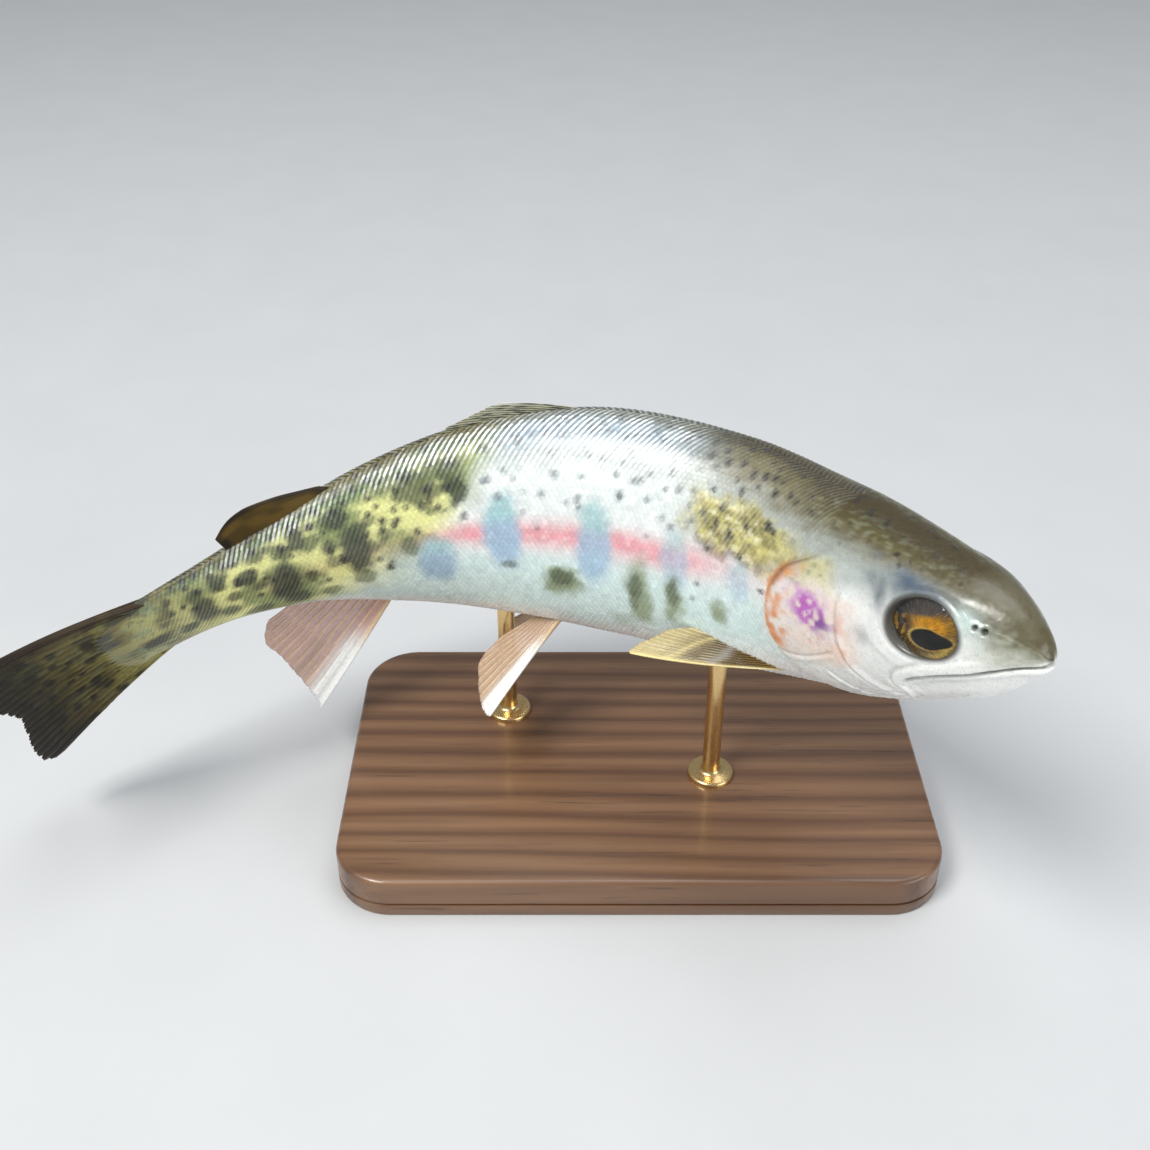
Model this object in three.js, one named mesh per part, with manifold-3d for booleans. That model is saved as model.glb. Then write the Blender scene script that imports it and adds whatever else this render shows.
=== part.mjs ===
// A young rainbow trout as a still, life-size display model: the fish hangs in a
// strong bend to its right on two short rods over a plain wooden plinth.
//
// Frame: millimetres, +Z up. The origin is the middle of the plinth's underside.
// The middle of the fish points along +X, its left side faces +Y.
//
// The fish is described straight, in its own space (s, y, z): s runs from the tip of
// the snout towards the tail, y to the fish's right, z to its back. flex() then lays
// that space along the bent spine.
import * as THREE from 'three';
import { mergeVertices } from 'three/addons/utils/BufferGeometryUtils.js';
import Module from 'manifold-3d';

const wasm = await Module();
wasm.setup();

// ---------------------------------------------------------------- driving sizes
const LENGTH = 175;            // snout to the root of the tail fin (standard length)
const GAP = 0.3;               // clearance between neighbouring pieces
const MID = [-5.5, 10.5, 54];  // where the spine's half-way point stands

// Body at its named stations, in fractions of LENGTH: distance from the snout, height
// of the back, depth of the belly, half width, height of the widest point, and how
// square the upper and lower halves of the section are (2 is an ellipse).
const STATIONS = [
  { name: 'lip',        at: 0.000, back: 0.004,  belly: -0.007, half: 0.0050, wide: -0.001, up: 2.00, low: 2.00 },
  { name: 'chin',       at: 0.010, back: 0.023,  belly: -0.019, half: 0.0170, wide: 0.000,  up: 2.10, low: 2.00 },
  { name: 'nostril',    at: 0.030, back: 0.041,  belly: -0.035, half: 0.0285, wide: 0.001,  up: 2.20, low: 2.10 },
  { name: 'eye_front',  at: 0.055, back: 0.053,  belly: -0.050, half: 0.0375, wide: 0.003,  up: 2.30, low: 2.10 },
  { name: 'eye',        at: 0.088, back: 0.063,  belly: -0.063, half: 0.0435, wide: 0.004,  up: 2.40, low: 2.10 },
  { name: 'cheek',      at: 0.130, back: 0.075,  belly: -0.077, half: 0.0510, wide: 0.003,  up: 2.35, low: 2.10 },
  { name: 'nape',       at: 0.190, back: 0.091,  belly: -0.092, half: 0.0575, wide: 0.000,  up: 2.25, low: 2.10 },
  { name: 'gill_edge',  at: 0.260, back: 0.102,  belly: -0.103, half: 0.0605, wide: -0.002, up: 2.15, low: 2.10 },
  { name: 'shoulder',   at: 0.360, back: 0.111,  belly: -0.116, half: 0.0625, wide: -0.003, up: 2.10, low: 2.15 },
  { name: 'dorsal',     at: 0.480, back: 0.116,  belly: -0.121, half: 0.0625, wide: -0.003, up: 2.05, low: 2.15 },
  { name: 'loin',       at: 0.600, back: 0.105,  belly: -0.113, half: 0.0555, wide: -0.002, up: 2.05, low: 2.15 },
  { name: 'vent',       at: 0.735, back: 0.082,  belly: -0.088, half: 0.0390, wide: 0.000,  up: 2.05, low: 2.10 },
  { name: 'adipose',    at: 0.840, back: 0.060,  belly: -0.060, half: 0.0255, wide: 0.000,  up: 2.00, low: 2.10 },
  { name: 'wrist',      at: 0.930, back: 0.0495, belly: -0.049, half: 0.0165, wide: 0.000,  up: 2.00, low: 2.00 },
  { name: 'tail_root',  at: 1.000, back: 0.053,  belly: -0.054, half: 0.0095, wide: 0.000,  up: 2.00, low: 2.00 },
];

// Bend of the spine in degrees at a few places: turn to the fish's right, rise of the
// nose, and lean of the back to the right. The skull is rigid.
const BEND = [
  { at: 0.00, turn: 56,    rise: 15.5, lean: 1.5 },
  { at: 0.20, turn: 56,    rise: 15.5, lean: 1.5 },
  { at: 0.36, turn: 41,    rise: 7.5,  lean: -9 },
  { at: 0.52, turn: 17.5,  rise: 4,    lean: -8.5 },
  { at: 0.68, turn: -6,    rise: 7.5,  lean: 0 },
  { at: 0.84, turn: -21,   rise: 12,   lean: 13 },
  { at: 1.00, turn: -29.5, rise: 18.5, lean: 22.5 },
  { at: 1.17, turn: -38,   rise: 24.5, lean: 24 },
];

const EYE = { s: 15.5, y: 6.5, z: 2.5, long: 6.1, high: 5.0, depth: 1.9, upTilt: 8, frontTilt: 6 };

const BASE = { long: 106, wide: 64, thick: 8, corner: 10, bevel: 1.0 };
const ROD = { radius: 1.6, collar: 4.2, collarHeight: 1.6, into: 6, front: 0.37, rear: 0.62 };

const AROUND = 26;             // facets round the body

// ---------------------------------------------------------------- small helpers
// Smooth curve through rising knots that never overshoots them.
function smooth(xs, ys) {
  const n = xs.length, h = [], d = [], m = new Array(n).fill(0);
  for (let i = 0; i < n - 1; i++) { h.push(xs[i + 1] - xs[i]); d.push((ys[i + 1] - ys[i]) / h[i]); }
  for (let i = 1; i < n - 1; i++)
    if (d[i - 1] * d[i] > 0) {
      const a = 2 * h[i] + h[i - 1], b = h[i] + 2 * h[i - 1];
      m[i] = (a + b) / (a / d[i - 1] + b / d[i]);
    }
  m[0] = d[0]; m[n - 1] = d[n - 2];
  return (x) => {
    x = Math.min(Math.max(x, xs[0]), xs[n - 1]);
    let i = 0;
    while (i < n - 2 && x >= xs[i + 1]) i++;
    const t = (x - xs[i]) / h[i], t2 = t * t, t3 = t2 * t;
    return (2 * t3 - 3 * t2 + 1) * ys[i] + (t3 - 2 * t2 + t) * h[i] * m[i]
      + (3 * t2 - 2 * t3) * ys[i + 1] + (t3 - t2) * h[i] * m[i + 1];
  };
}
const rad = THREE.MathUtils.degToRad;
const lerp = THREE.MathUtils.lerp;

// The stations are joined along the root of s, which keeps the snout round.
const roots = STATIONS.map((k) => Math.sqrt(k.at));
const shape = {};
for (const key of ['back', 'belly', 'half', 'wide', 'up', 'low']) {
  const f = smooth(roots, STATIONS.map((k) => k[key]));
  shape[key] = (s) => f(Math.sqrt(Math.min(Math.max(s, 0), 1)));
}

// Point on the body at fraction s and angle a round it (0 is the back, a quarter turn
// is the right side), grown outwards by `grow`, in the fish's own millimetres.
function skin(s, a, grow = 0, fill = 1) {
  const c = Math.cos(a), n = Math.sin(a);
  const e = 2 / (c >= 0 ? shape.up(s) : shape.low(s));
  const wide = shape.wide(s) * LENGTH;
  const half = shape.half(s) * LENGTH + grow;
  const tall = c >= 0 ? shape.back(s) * LENGTH - wide + grow : wide - shape.belly(s) * LENGTH + grow;
  return [
    s * LENGTH,
    fill * half * Math.sign(n) * Math.abs(n) ** e,
    wide + fill * tall * Math.sign(c) * Math.abs(c) ** e,
  ];
}
const backAt = (s) => shape.back(s) * LENGTH;
const bellyAt = (s) => shape.belly(s) * LENGTH;

// ---------------------------------------------------------------- the bent spine
const bend = {};
for (const key of ['turn', 'rise', 'lean'])
  bend[key] = smooth(BEND.map((k) => k.at), BEND.map((k) => k[key]));

function axes(s) {
  const turn = rad(bend.turn(s)), rise = rad(bend.rise(s)), lean = rad(bend.lean(s));
  const ahead = new THREE.Vector3(
    Math.cos(rise) * Math.cos(turn), -Math.cos(rise) * Math.sin(turn), Math.sin(rise));
  const right0 = new THREE.Vector3(-Math.sin(turn), -Math.cos(turn), 0);
  const up0 = new THREE.Vector3().crossVectors(right0, ahead);
  const up = up0.clone().multiplyScalar(Math.cos(lean)).addScaledVector(right0, Math.sin(lean));
  const right = right0.clone().multiplyScalar(Math.cos(lean)).addScaledVector(up0, -Math.sin(lean));
  return { ahead, right, up };
}
const STEPS = 468, REACH = 1.17;
const spine = [new THREE.Vector3()];
for (let i = 1; i <= STEPS; i++) {
  const a = axes((i - 1) / STEPS * REACH).ahead, b = axes(i / STEPS * REACH).ahead;
  spine.push(spine[i - 1].clone().addScaledVector(a.add(b), -0.5 * REACH / STEPS * LENGTH));
}
function onSpine(s) {
  const t = Math.min(Math.max(s / REACH, 0), 1) * STEPS, i = Math.min(Math.floor(t), STEPS - 1);
  const p = spine[i].clone().lerp(spine[i + 1], t - i);
  // ahead of the snout or past the last step the spine runs on straight
  const past = s < 0 ? s : s > REACH ? s - REACH : 0;
  return p.addScaledVector(axes(s).ahead, -past * LENGTH);
}
const shift = new THREE.Vector3(...MID).sub(onSpine(0.5));

// Lays a point of the fish's own space along the bent spine.
function flex([s, y, z]) {
  const f = axes(s / LENGTH);
  return onSpine(s / LENGTH).add(shift).addScaledVector(f.right, y).addScaledVector(f.up, z);
}

// ---------------------------------------------------------------- solids
function geometryOf(positions, index) {
  const g = new THREE.BufferGeometry();
  g.setAttribute('position', new THREE.Float32BufferAttribute(positions, 3));
  g.setIndex(index);
  return g;
}
function bare(geometry) {
  const g = geometry.clone();
  for (const k of ['normal', 'uv']) g.deleteAttribute(k);
  return mergeVertices(g, 1e-3);
}
function solid(geometry) {
  const g = bare(geometry);
  return new wasm.Manifold(new wasm.Mesh({
    numProp: 3,
    vertProperties: new Float32Array(g.attributes.position.array),
    triVerts: new Uint32Array(g.index.array),
  }));
}
function fromSolid(m) {
  const mesh = m.getMesh();
  const positions = [];
  for (let i = 0; i < mesh.numVert; i++)
    for (let k = 0; k < 3; k++) positions.push(mesh.vertProperties[i * mesh.numProp + k]);
  return geometryOf(positions, Array.from(mesh.triVerts));
}
function mapped(geometry, f) {
  const g = bare(geometry), p = g.attributes.position;
  for (let i = 0; i < p.count; i++) {
    const q = f([p.getX(i), p.getY(i), p.getZ(i)]);
    Array.isArray(q) ? p.setXYZ(i, ...q) : p.setXYZ(i, q.x, q.y, q.z);
  }
  return g;
}
const bent = (m) => solid(mapped(fromSolid(m), flex));

// A closed length of the body between two stations, straight, grown by `grow`.
function bodyLength(s0, s1, rings, grow = 0, snout = false) {
  const tube = new THREE.CylinderGeometry(1, 1, 1, AROUND, rings, false);
  return solid(mapped(tube, ([x, y, z]) => {
    const v = 0.5 - y;
    // rings crowd towards the snout
    const s = snout ? s1 * v ** 1.7 : lerp(s0, s1, v);
    const fill = Math.min(1, Math.hypot(x, z));
    const p = skin(s, fill < 0.5 ? 0 : Math.atan2(x, z), grow, fill < 0.5 ? 0 : 1);
    if (fill < 0.5) p[2] = (backAt(s) + bellyAt(s)) / 2;
    if (snout) p[0] -= grow * (1 - v);
    else p[0] += grow * (2 * v - 1);
    return p;
  }));
}

// A side outline in the (s, z) plane, drawn right through the fish from side to side.
function throughFish(outline, width = 40) {
  const g = new THREE.ExtrudeGeometry(outline, { depth: width, bevelEnabled: false, curveSegments: 10 });
  return solid(mapped(g, ([x, y, z]) => [x, width / 2 - z, y]));
}

// ------------------------------------------------ cuts between head, jaw and trunk
// Rear edge of the gill cover, from the occiput round to the throat.
function gillOutline(back) {
  const o = new THREE.Shape();
  o.moveTo(-20, -40);
  o.lineTo(-20, 40);
  o.lineTo(34.5 + back, 40);
  o.lineTo(34.5 + back, 10.5);
  o.splineThru([
    new THREE.Vector2(41.5 + back, 6.5),
    new THREE.Vector2(45.2 + back, 1.5),
    new THREE.Vector2(46.0 + back, -4),
    new THREE.Vector2(43.5 + back, -10),
    new THREE.Vector2(38.0 + back, -14),
    new THREE.Vector2(31.0 + back, -17),
    new THREE.Vector2(27.0 + back, -21),
  ]);
  o.lineTo(27 + back, -40);
  o.closePath();
  return o;
}
// The lower jaw: under the mouth line, from the lip back to the joint and the throat.
function jawOutline(grow) {
  const o = new THREE.Shape();
  o.moveTo(-6, -1.1 + grow);
  o.lineTo(1.0, -1.1 + grow);
  o.splineThru([
    new THREE.Vector2(6, -2.1 + grow),
    new THREE.Vector2(12, -3.8 + grow),
    new THREE.Vector2(18.5, -6.2 + grow),
  ]);
  o.lineTo(21.2 + grow, -7.6 + grow * 0.5);
  o.lineTo(20.2 + grow, -12);
  o.lineTo(14.5 + grow, -30);
  o.lineTo(-6, -30);
  o.closePath();
  return o;
}

const front = bodyLength(0, 0.30, 20, 0, true);
const rearOfHead = throughFish(gillOutline(0));
const headBlock = front.intersect(rearOfHead);
const jawSolid = headBlock.intersect(throughFish(jawOutline(0)));
let headSolid = headBlock.subtract(throughFish(jawOutline(GAP)));

// Eye sockets
function eyeball(side, grow) {
  const g = new THREE.SphereGeometry(1, 18, 12);
  g.rotateX(Math.PI / 2);            // poles to left and right
  g.rotateX(Math.PI / 2);
  const m = new THREE.Matrix4()
    .makeTranslation(EYE.s, side * EYE.y, EYE.z)
    .multiply(new THREE.Matrix4().makeRotationX(side * rad(EYE.upTilt)))
    .multiply(new THREE.Matrix4().makeRotationZ(side * rad(EYE.frontTilt)))
    .multiply(new THREE.Matrix4().makeScale(EYE.long + grow, EYE.depth + grow, EYE.high + grow));
  return solid(g.applyMatrix4(m));
}
for (const side of [1, -1]) headSolid = headSolid.subtract(eyeball(side, GAP));

const TRUNK = [
  ['trunk_front', 0.14, 0.42, 10],
  ['trunk_middle', 0.42, 0.60, 7],
  ['trunk_rear', 0.60, 0.78, 7],
  ['tail_peduncle', 0.78, 1.00, 9],
];
const half = GAP / 2 / LENGTH;
const trunkSolids = TRUNK.map(([name, s0, s1, rings], i) => {
  let m = bodyLength(i ? s0 + half : s0, i < 3 ? s1 - half : s1, rings);
  if (!i) m = m.subtract(throughFish(gillOutline(GAP)));
  return [name, bent(m)];
});

// The whole body, a little swollen: what trims the roots of the fins.
const swollen = bent(bodyLength(0, 0.5, 30, GAP, true))
  .add(bent(bodyLength(0.49, 1, 24, GAP)));

// ---------------------------------------------------------------- fins
// A fin is a fan of rays: u runs from the leading ray to the last one, v from root to
// edge. `at(u, v)` gives the middle surface and `thick(v)` the thickness.
function fan(rays, steps, at, thick) {
  const plate = new THREE.BoxGeometry(1, 1, 1, rays, steps, 1);
  return mapped(plate, ([x, y, z]) => {
    const u = x + 0.5, v = y + 0.5;
    const p = at(u, v), e = 1e-3;
    const pu = at(Math.min(1, u + e), v).sub(at(Math.max(0, u - e), v));
    const pv = at(u, Math.min(1, v + e)).sub(at(u, Math.max(0, v - e)));
    const n = pu.cross(pv).normalize();
    // thinner at the leading, rear and outer edges
    const rim = Math.min(1, 0.62 + 1.6 * Math.min(u, 1 - u));
    return p.addScaledVector(n, 2 * z * thick(v) * rim / 2);
  });
}
const thin = (root, edge) => (v) => lerp(root, edge, Math.min(1, Math.max(0, v)) ** 0.7);
function finSolid(geometry) {
  let m = solid(geometry);
  if (m.volume() < 0) {
    const g = bare(geometry), i = g.index.array;
    for (let k = 0; k < i.length; k += 3) [i[k + 1], i[k + 2]] = [i[k + 2], i[k + 1]];
    m = solid(g);
  }
  m = m.subtract(swollen);
  // keep the blade, drop any sliver left by the trim
  return m.decompose().sort((a, b) => b.volume() - a.volume())[0];
}

// Fins on the middle line, drawn in the (s, z) plane and bent with the spine.
// root(u) gives the root point, dir(u) the ray's angle above the line to the tail,
// reach(u) its length and tip(u) how far it leans to the right, all in mm or degrees.
// trim(u, lead, last) rounds the two outer corners of a fin.
const trim = (u, lead, last) => 1 - lead * Math.max(0, 1 - u / 0.16) ** 2 - last * Math.max(0, (u - 0.7) / 0.3) ** 2;
const FINS = {
  dorsal_fin: {
    rays: 12, steps: 4, thick: thin(1.3, 0.55),
    root: (u) => [lerp(0.478, 0.602, u), backAt(lerp(0.478, 0.602, u)) - 1.6],
    dir: (u) => lerp(8.5, 3, u), reach: (u) => lerp(22.5, 11.5, u ** 0.8) * trim(u, 0.06, 0.25), lean: () => -45, curl: -4,
  },
  adipose_fin: {
    rays: 7, steps: 4, thick: thin(1.4, 0.6),
    root: (u) => [lerp(0.765, 0.880, u), backAt(lerp(0.765, 0.880, u)) - 1.4],
    dir: (u) => lerp(36, 74, u), reach: (u) => 2.2 + 5.9 * Math.sin(Math.PI * (0.05 + 0.80 * u)), lean: () => 0, curl: 4,
  },
  anal_fin: {
    rays: 10, steps: 6, thick: thin(1.4, 0.55),
    root: (u) => [lerp(0.735, 0.832, u), bellyAt(lerp(0.735, 0.832, u)) + 1.6],
    dir: (u) => lerp(-46, -24, u), reach: (u) => lerp(32.5, 12.5, u ** 0.65) * trim(u, 0.05, 0.34), lean: () => 30, curl: 8,
  },
  caudal_fin: {
    rays: 20, steps: 8, thick: thin(1.9, 0.6),
    root: (u) => [0.972 + 0.012 * (1 - (2 * u - 1) ** 2), lerp(8.2, -8.4, u)],
    dir: (u) => lerp(25, -25, u),
    reach: (u) => { const q = Math.abs(2 * u - 1); return 26 + 9.5 * q ** 1.5 - 4 * Math.max(0, (q - 0.8) / 0.2) ** 2; },
    lean: () => 0, curl: 3,
  },
};
function medianFin(f) {
  return fan(f.rays, f.steps, (u, v) => {
    const [s, z] = f.root(u), d = f.reach(u) * v;
    const a = rad(f.dir(u)), b = rad(f.dir(u) + f.curl * v * (u < 0.5 && f.dir(0) * f.dir(1) < 0 ? -1 : 1));
    const aim = (a + b) / 2;
    const rise = Math.sin(aim) * d, lean = rad(f.lean(u));
    return flex([s * LENGTH + Math.cos(aim) * d, Math.abs(rise) * Math.sin(lean), z + rise * Math.cos(lean)]);
  }, f.thick);
}

// Paired fins are flat fans fixed to the frame of the spine at their own station.
// lead and last are the directions of the first and last rays: backward, outward, up.
const PAIRED = {
  pectoral_fin: {
    at: 0.266, root: [[0, 5.3, -15.0], [3.6, 7.2, -11.0]], lead: [0.85, 0.53, -0.10], last: [0.95, 0.33, -0.03],
    reach: (u) => lerp(28.6, 14.0, u ** 1.2) * trim(u, 0.04, 0.30), bow: -3.2, rays: 10, steps: 7, thick: thin(1.5, 0.55),
  },
  pelvic_fin: {
    at: 0.545, root: [[0, 3.4, -18.6], [5.0, 2.0, -19.4]], lead: [0.50, 0.60, -0.62], last: [0.84, 0.20, -0.50],
    reach: (u) => lerp(23, 13.5, u ** 0.9) * trim(u, 0.06, 0.34), bow: 1.2, rays: 8, steps: 6, thick: thin(1.4, 0.55),
  },
};
function pairedFin(f, side) {
  const p0 = onSpine(f.at).add(shift), a = axes(f.at);
  const place = ([b, o, z]) => p0.clone().addScaledVector(a.ahead, -b)
    .addScaledVector(a.right, side * o).addScaledVector(a.up, z);
  const g = fan(f.rays, f.steps, (u, v) => {
    const aim = [0, 1, 2].map((k) => lerp(f.lead[k], f.last[k], u));
    const norm = Math.hypot(...aim), d = f.reach(u) * v;
    const q = [0, 1, 2].map((k) => lerp(f.root[0][k], f.root[1][k], u) + aim[k] / norm * d);
    q[2] -= f.bow * v * v * (1 - 0.5 * u);
    return place(q);
  }, f.thick);
  return finSolid(g);
}

// ---------------------------------------------------------------- plinth and rods
function roundedBase() {
  const x = BASE.long / 2 - BASE.bevel, y = BASE.wide / 2 - BASE.bevel, r = BASE.corner - BASE.bevel;
  const o = new THREE.Shape();
  o.moveTo(-x + r, -y); o.lineTo(x - r, -y); o.absarc(x - r, -y + r, r, -Math.PI / 2, 0);
  o.lineTo(x, y - r); o.absarc(x - r, y - r, r, 0, Math.PI / 2);
  o.lineTo(-x + r, y); o.absarc(-x + r, y - r, r, Math.PI / 2, Math.PI);
  o.lineTo(-x, -y + r); o.absarc(-x + r, -y + r, r, Math.PI, Math.PI * 1.5);
  return new THREE.ExtrudeGeometry(o, {
    depth: BASE.thick - 2 * BASE.bevel, bevelEnabled: true, bevelThickness: BASE.bevel,
    bevelSize: BASE.bevel, bevelSegments: 2, curveSegments: 5,
  }).translate(0, 0, BASE.bevel);
}
const baseSolid = solid(roundedBase());

// Each rod stands upright under the belly on a small collar and ends inside a socket.
function rod(s, grow) {
  const foot = flex([s * LENGTH, 0, bellyAt(s)]);
  const top = foot.z + ROD.into + grow;
  const low = BASE.thick;
  const profile = [
    [0, low], [ROD.collar, low], [ROD.collar, low + ROD.collarHeight - 0.4],
    [ROD.collar - 0.4, low + ROD.collarHeight], [ROD.radius + grow, low + ROD.collarHeight],
    [ROD.radius + grow, top - 0.3], [ROD.radius + grow - 0.3, top], [0, top],
  ].map(([r, z]) => new THREE.Vector2(r, z));
  const g = new THREE.LatheGeometry(profile, 20);
  g.rotateX(Math.PI / 2);
  // the lathe's axis is Y: turned to stand on +Z
  g.translate(foot.x, foot.y, 0);
  return solid(g);
}

// ---------------------------------------------------------------- assembly
const looks = {
  head:          { color: 0x8f9584, roughness: 0.35, metalness: 0.15 },
  lower_jaw:     { color: 0xdfe3da, roughness: 0.35, metalness: 0.1 },
  trunk_front:   { color: 0xb9c0b4, roughness: 0.35, metalness: 0.2 },
  trunk_middle:  { color: 0xc2cbc6, roughness: 0.35, metalness: 0.2 },
  trunk_rear:    { color: 0xa9ab7f, roughness: 0.35, metalness: 0.2 },
  tail_peduncle: { color: 0x98996a, roughness: 0.4, metalness: 0.15 },
  fin:           { color: 0x8d8352, roughness: 0.45, metalness: 0.0 },
  eye:           { color: 0xc07a1e, roughness: 0.1, metalness: 0.0 },
  stand_base:    { color: 0x5a3d28, roughness: 0.5, metalness: 0.0 },
  stand_rod:     { color: 0xb08d4a, roughness: 0.3, metalness: 1.0 },
};
const trout = new THREE.Group();
function put(name, m, look) {
  const mesh = new THREE.Mesh(fromSolid(m), new THREE.MeshStandardMaterial(looks[look || name]));
  mesh.geometry.computeVertexNormals();
  mesh.name = name;
  trout.add(mesh);
}

const rodFront = rod(ROD.front, 0), rodRear = rod(ROD.rear, 0);
const sockets = [rod(ROD.front, GAP), rod(ROD.rear, GAP)];

put('head', bent(headSolid));
put('lower_jaw', bent(jawSolid));
for (const [name, m] of trunkSolids) {
  let part = m;
  for (const hole of sockets) part = part.subtract(hole);
  put(name, part);
}
for (const [name, f] of Object.entries(FINS)) put(name, finSolid(medianFin(f)), 'fin');
for (const [name, f] of Object.entries(PAIRED))
  for (const [word, side] of [['right', 1], ['left', -1]]) put(`${name}_${word}`, pairedFin(f, side), 'fin');
for (const [word, side] of [['right', 1], ['left', -1]]) put(`eye_${word}`, bent(eyeball(side, 0)), 'eye');
put('stand_base', baseSolid);
put('stand_rod_front', rodFront, 'stand_rod');
put('stand_rod_rear', rodRear, 'stand_rod');

export default trout;
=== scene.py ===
import math

import bpy
import numpy as np
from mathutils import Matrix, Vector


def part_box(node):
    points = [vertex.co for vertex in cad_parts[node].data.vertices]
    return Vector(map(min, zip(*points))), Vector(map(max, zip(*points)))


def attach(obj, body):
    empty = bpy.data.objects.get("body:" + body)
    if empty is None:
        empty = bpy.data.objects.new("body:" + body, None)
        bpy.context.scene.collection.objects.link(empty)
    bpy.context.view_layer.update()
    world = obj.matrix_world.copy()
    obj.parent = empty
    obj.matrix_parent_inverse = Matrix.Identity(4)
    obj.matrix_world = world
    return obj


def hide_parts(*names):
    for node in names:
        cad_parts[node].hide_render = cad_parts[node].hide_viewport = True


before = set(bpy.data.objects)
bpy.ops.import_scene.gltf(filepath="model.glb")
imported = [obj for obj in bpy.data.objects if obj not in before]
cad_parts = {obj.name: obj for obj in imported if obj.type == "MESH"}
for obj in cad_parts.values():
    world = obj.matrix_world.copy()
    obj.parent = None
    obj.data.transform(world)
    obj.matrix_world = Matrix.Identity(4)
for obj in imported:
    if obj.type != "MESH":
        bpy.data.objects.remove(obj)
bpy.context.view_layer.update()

MM = 0.001
LENGTH = 175.0
MID = np.array([-5.5, 10.5, 54.0])
RNG = np.random.default_rng(7351)

STATIONS = np.array([  # at, back, belly, half, wide, up, low
    [0.000, 0.004, -0.007, 0.0050, -0.001, 2.00, 2.00],
    [0.010, 0.023, -0.019, 0.0170, 0.000, 2.10, 2.00],
    [0.030, 0.041, -0.035, 0.0285, 0.001, 2.20, 2.10],
    [0.055, 0.053, -0.050, 0.0375, 0.003, 2.30, 2.10],
    [0.088, 0.063, -0.063, 0.0435, 0.004, 2.40, 2.10],
    [0.130, 0.075, -0.077, 0.0510, 0.003, 2.35, 2.10],
    [0.190, 0.091, -0.092, 0.0575, 0.000, 2.25, 2.10],
    [0.260, 0.102, -0.103, 0.0605, -0.002, 2.15, 2.10],
    [0.360, 0.111, -0.116, 0.0625, -0.003, 2.10, 2.15],
    [0.480, 0.116, -0.121, 0.0625, -0.003, 2.05, 2.15],
    [0.600, 0.105, -0.113, 0.0555, -0.002, 2.05, 2.15],
    [0.735, 0.082, -0.088, 0.0390, 0.000, 2.05, 2.10],
    [0.840, 0.060, -0.060, 0.0255, 0.000, 2.00, 2.10],
    [0.930, 0.0495, -0.049, 0.0165, 0.000, 2.00, 2.00],
    [1.000, 0.053, -0.054, 0.0095, 0.000, 2.00, 2.00],
])
BEND = np.array([  # at, turn, rise, lean
    [0.00, 56, 15.5, 1.5], [0.20, 56, 15.5, 1.5], [0.36, 41, 7.5, -9], [0.52, 17.5, 4, -8.5],
    [0.68, -6, 7.5, 0], [0.84, -21, 12, 13], [1.00, -29.5, 18.5, 22.5], [1.17, -38, 24.5, 24],
])


# ------------------------------------------------------------------ small maths
def pchip(xs, ys):
    xs, ys = np.asarray(xs, float), np.asarray(ys, float)
    h = np.diff(xs)
    d = np.diff(ys) / h
    n = len(xs)
    m = np.zeros(n)
    for i in range(1, n - 1):
        if d[i - 1] * d[i] > 0:
            a, b = 2 * h[i] + h[i - 1], h[i] + 2 * h[i - 1]
            m[i] = (a + b) / (a / d[i - 1] + b / d[i])
    m[0], m[-1] = d[0], d[-1]

    def f(x):
        x = np.clip(np.asarray(x, float), xs[0], xs[-1])
        i = np.clip(np.searchsorted(xs, x, side="right") - 1, 0, n - 2)
        t = (x - xs[i]) / h[i]
        t2, t3 = t * t, t * t * t
        return ((2 * t3 - 3 * t2 + 1) * ys[i] + (t3 - 2 * t2 + t) * h[i] * m[i]
                + (3 * t2 - 2 * t3) * ys[i + 1] + (t3 - t2) * h[i] * m[i + 1])
    return f


def step(a, b, x):
    """0 at a, 1 at b, smooth between; a may be above b."""
    t = np.clip((np.asarray(x, float) - a) / (b - a), 0, 1)
    return t * t * (3 - 2 * t)


def band(lo, hi, soft, x):
    return step(lo - soft, lo + soft, x) * step(hi + soft, hi - soft, x)


def bell(x, width):
    return np.exp(-(x / width) ** 2)


def lerp(a, b, t):
    return a + (b - a) * t


def hashed(ix, iy, iz, seed):
    h = (ix.astype(np.int64) * 374761393 + iy.astype(np.int64) * 668265263
         + iz.astype(np.int64) * 2147483647 + seed * 1274126177) & 0xFFFFFFFF
    h = ((h ^ (h >> 13)) * 1274126177) & 0xFFFFFFFF
    h = (h ^ (h >> 16)) & 0xFFFFFFFF
    return h / 4294967295.0


def noise(x, y, z, size, seed=0):
    """Smooth value noise, 0 to 1, with lumps about `size` across."""
    x, y, z = np.asarray(x, float) / size + 531, np.asarray(y, float) / size + 257, np.asarray(z, float) / size + 113
    ix, iy, iz = np.floor(x), np.floor(y), np.floor(z)
    fx, fy, fz = x - ix, y - iy, z - iz
    fx, fy, fz = [f * f * (3 - 2 * f) for f in (fx, fy, fz)]
    out = 0
    for a in (0, 1):
        for b in (0, 1):
            for c in (0, 1):
                w = (fx if a else 1 - fx) * (fy if b else 1 - fy) * (fz if c else 1 - fz)
                out = out + w * hashed(ix + a, iy + b, iz + c, seed)
    return out


def fbm(x, y, z, size, seed=0):
    return (0.55 * noise(x, y, z, size, seed) + 0.3 * noise(x, y, z, size / 2.1, seed + 11)
            + 0.15 * noise(x, y, z, size / 4.3, seed + 23))


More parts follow.
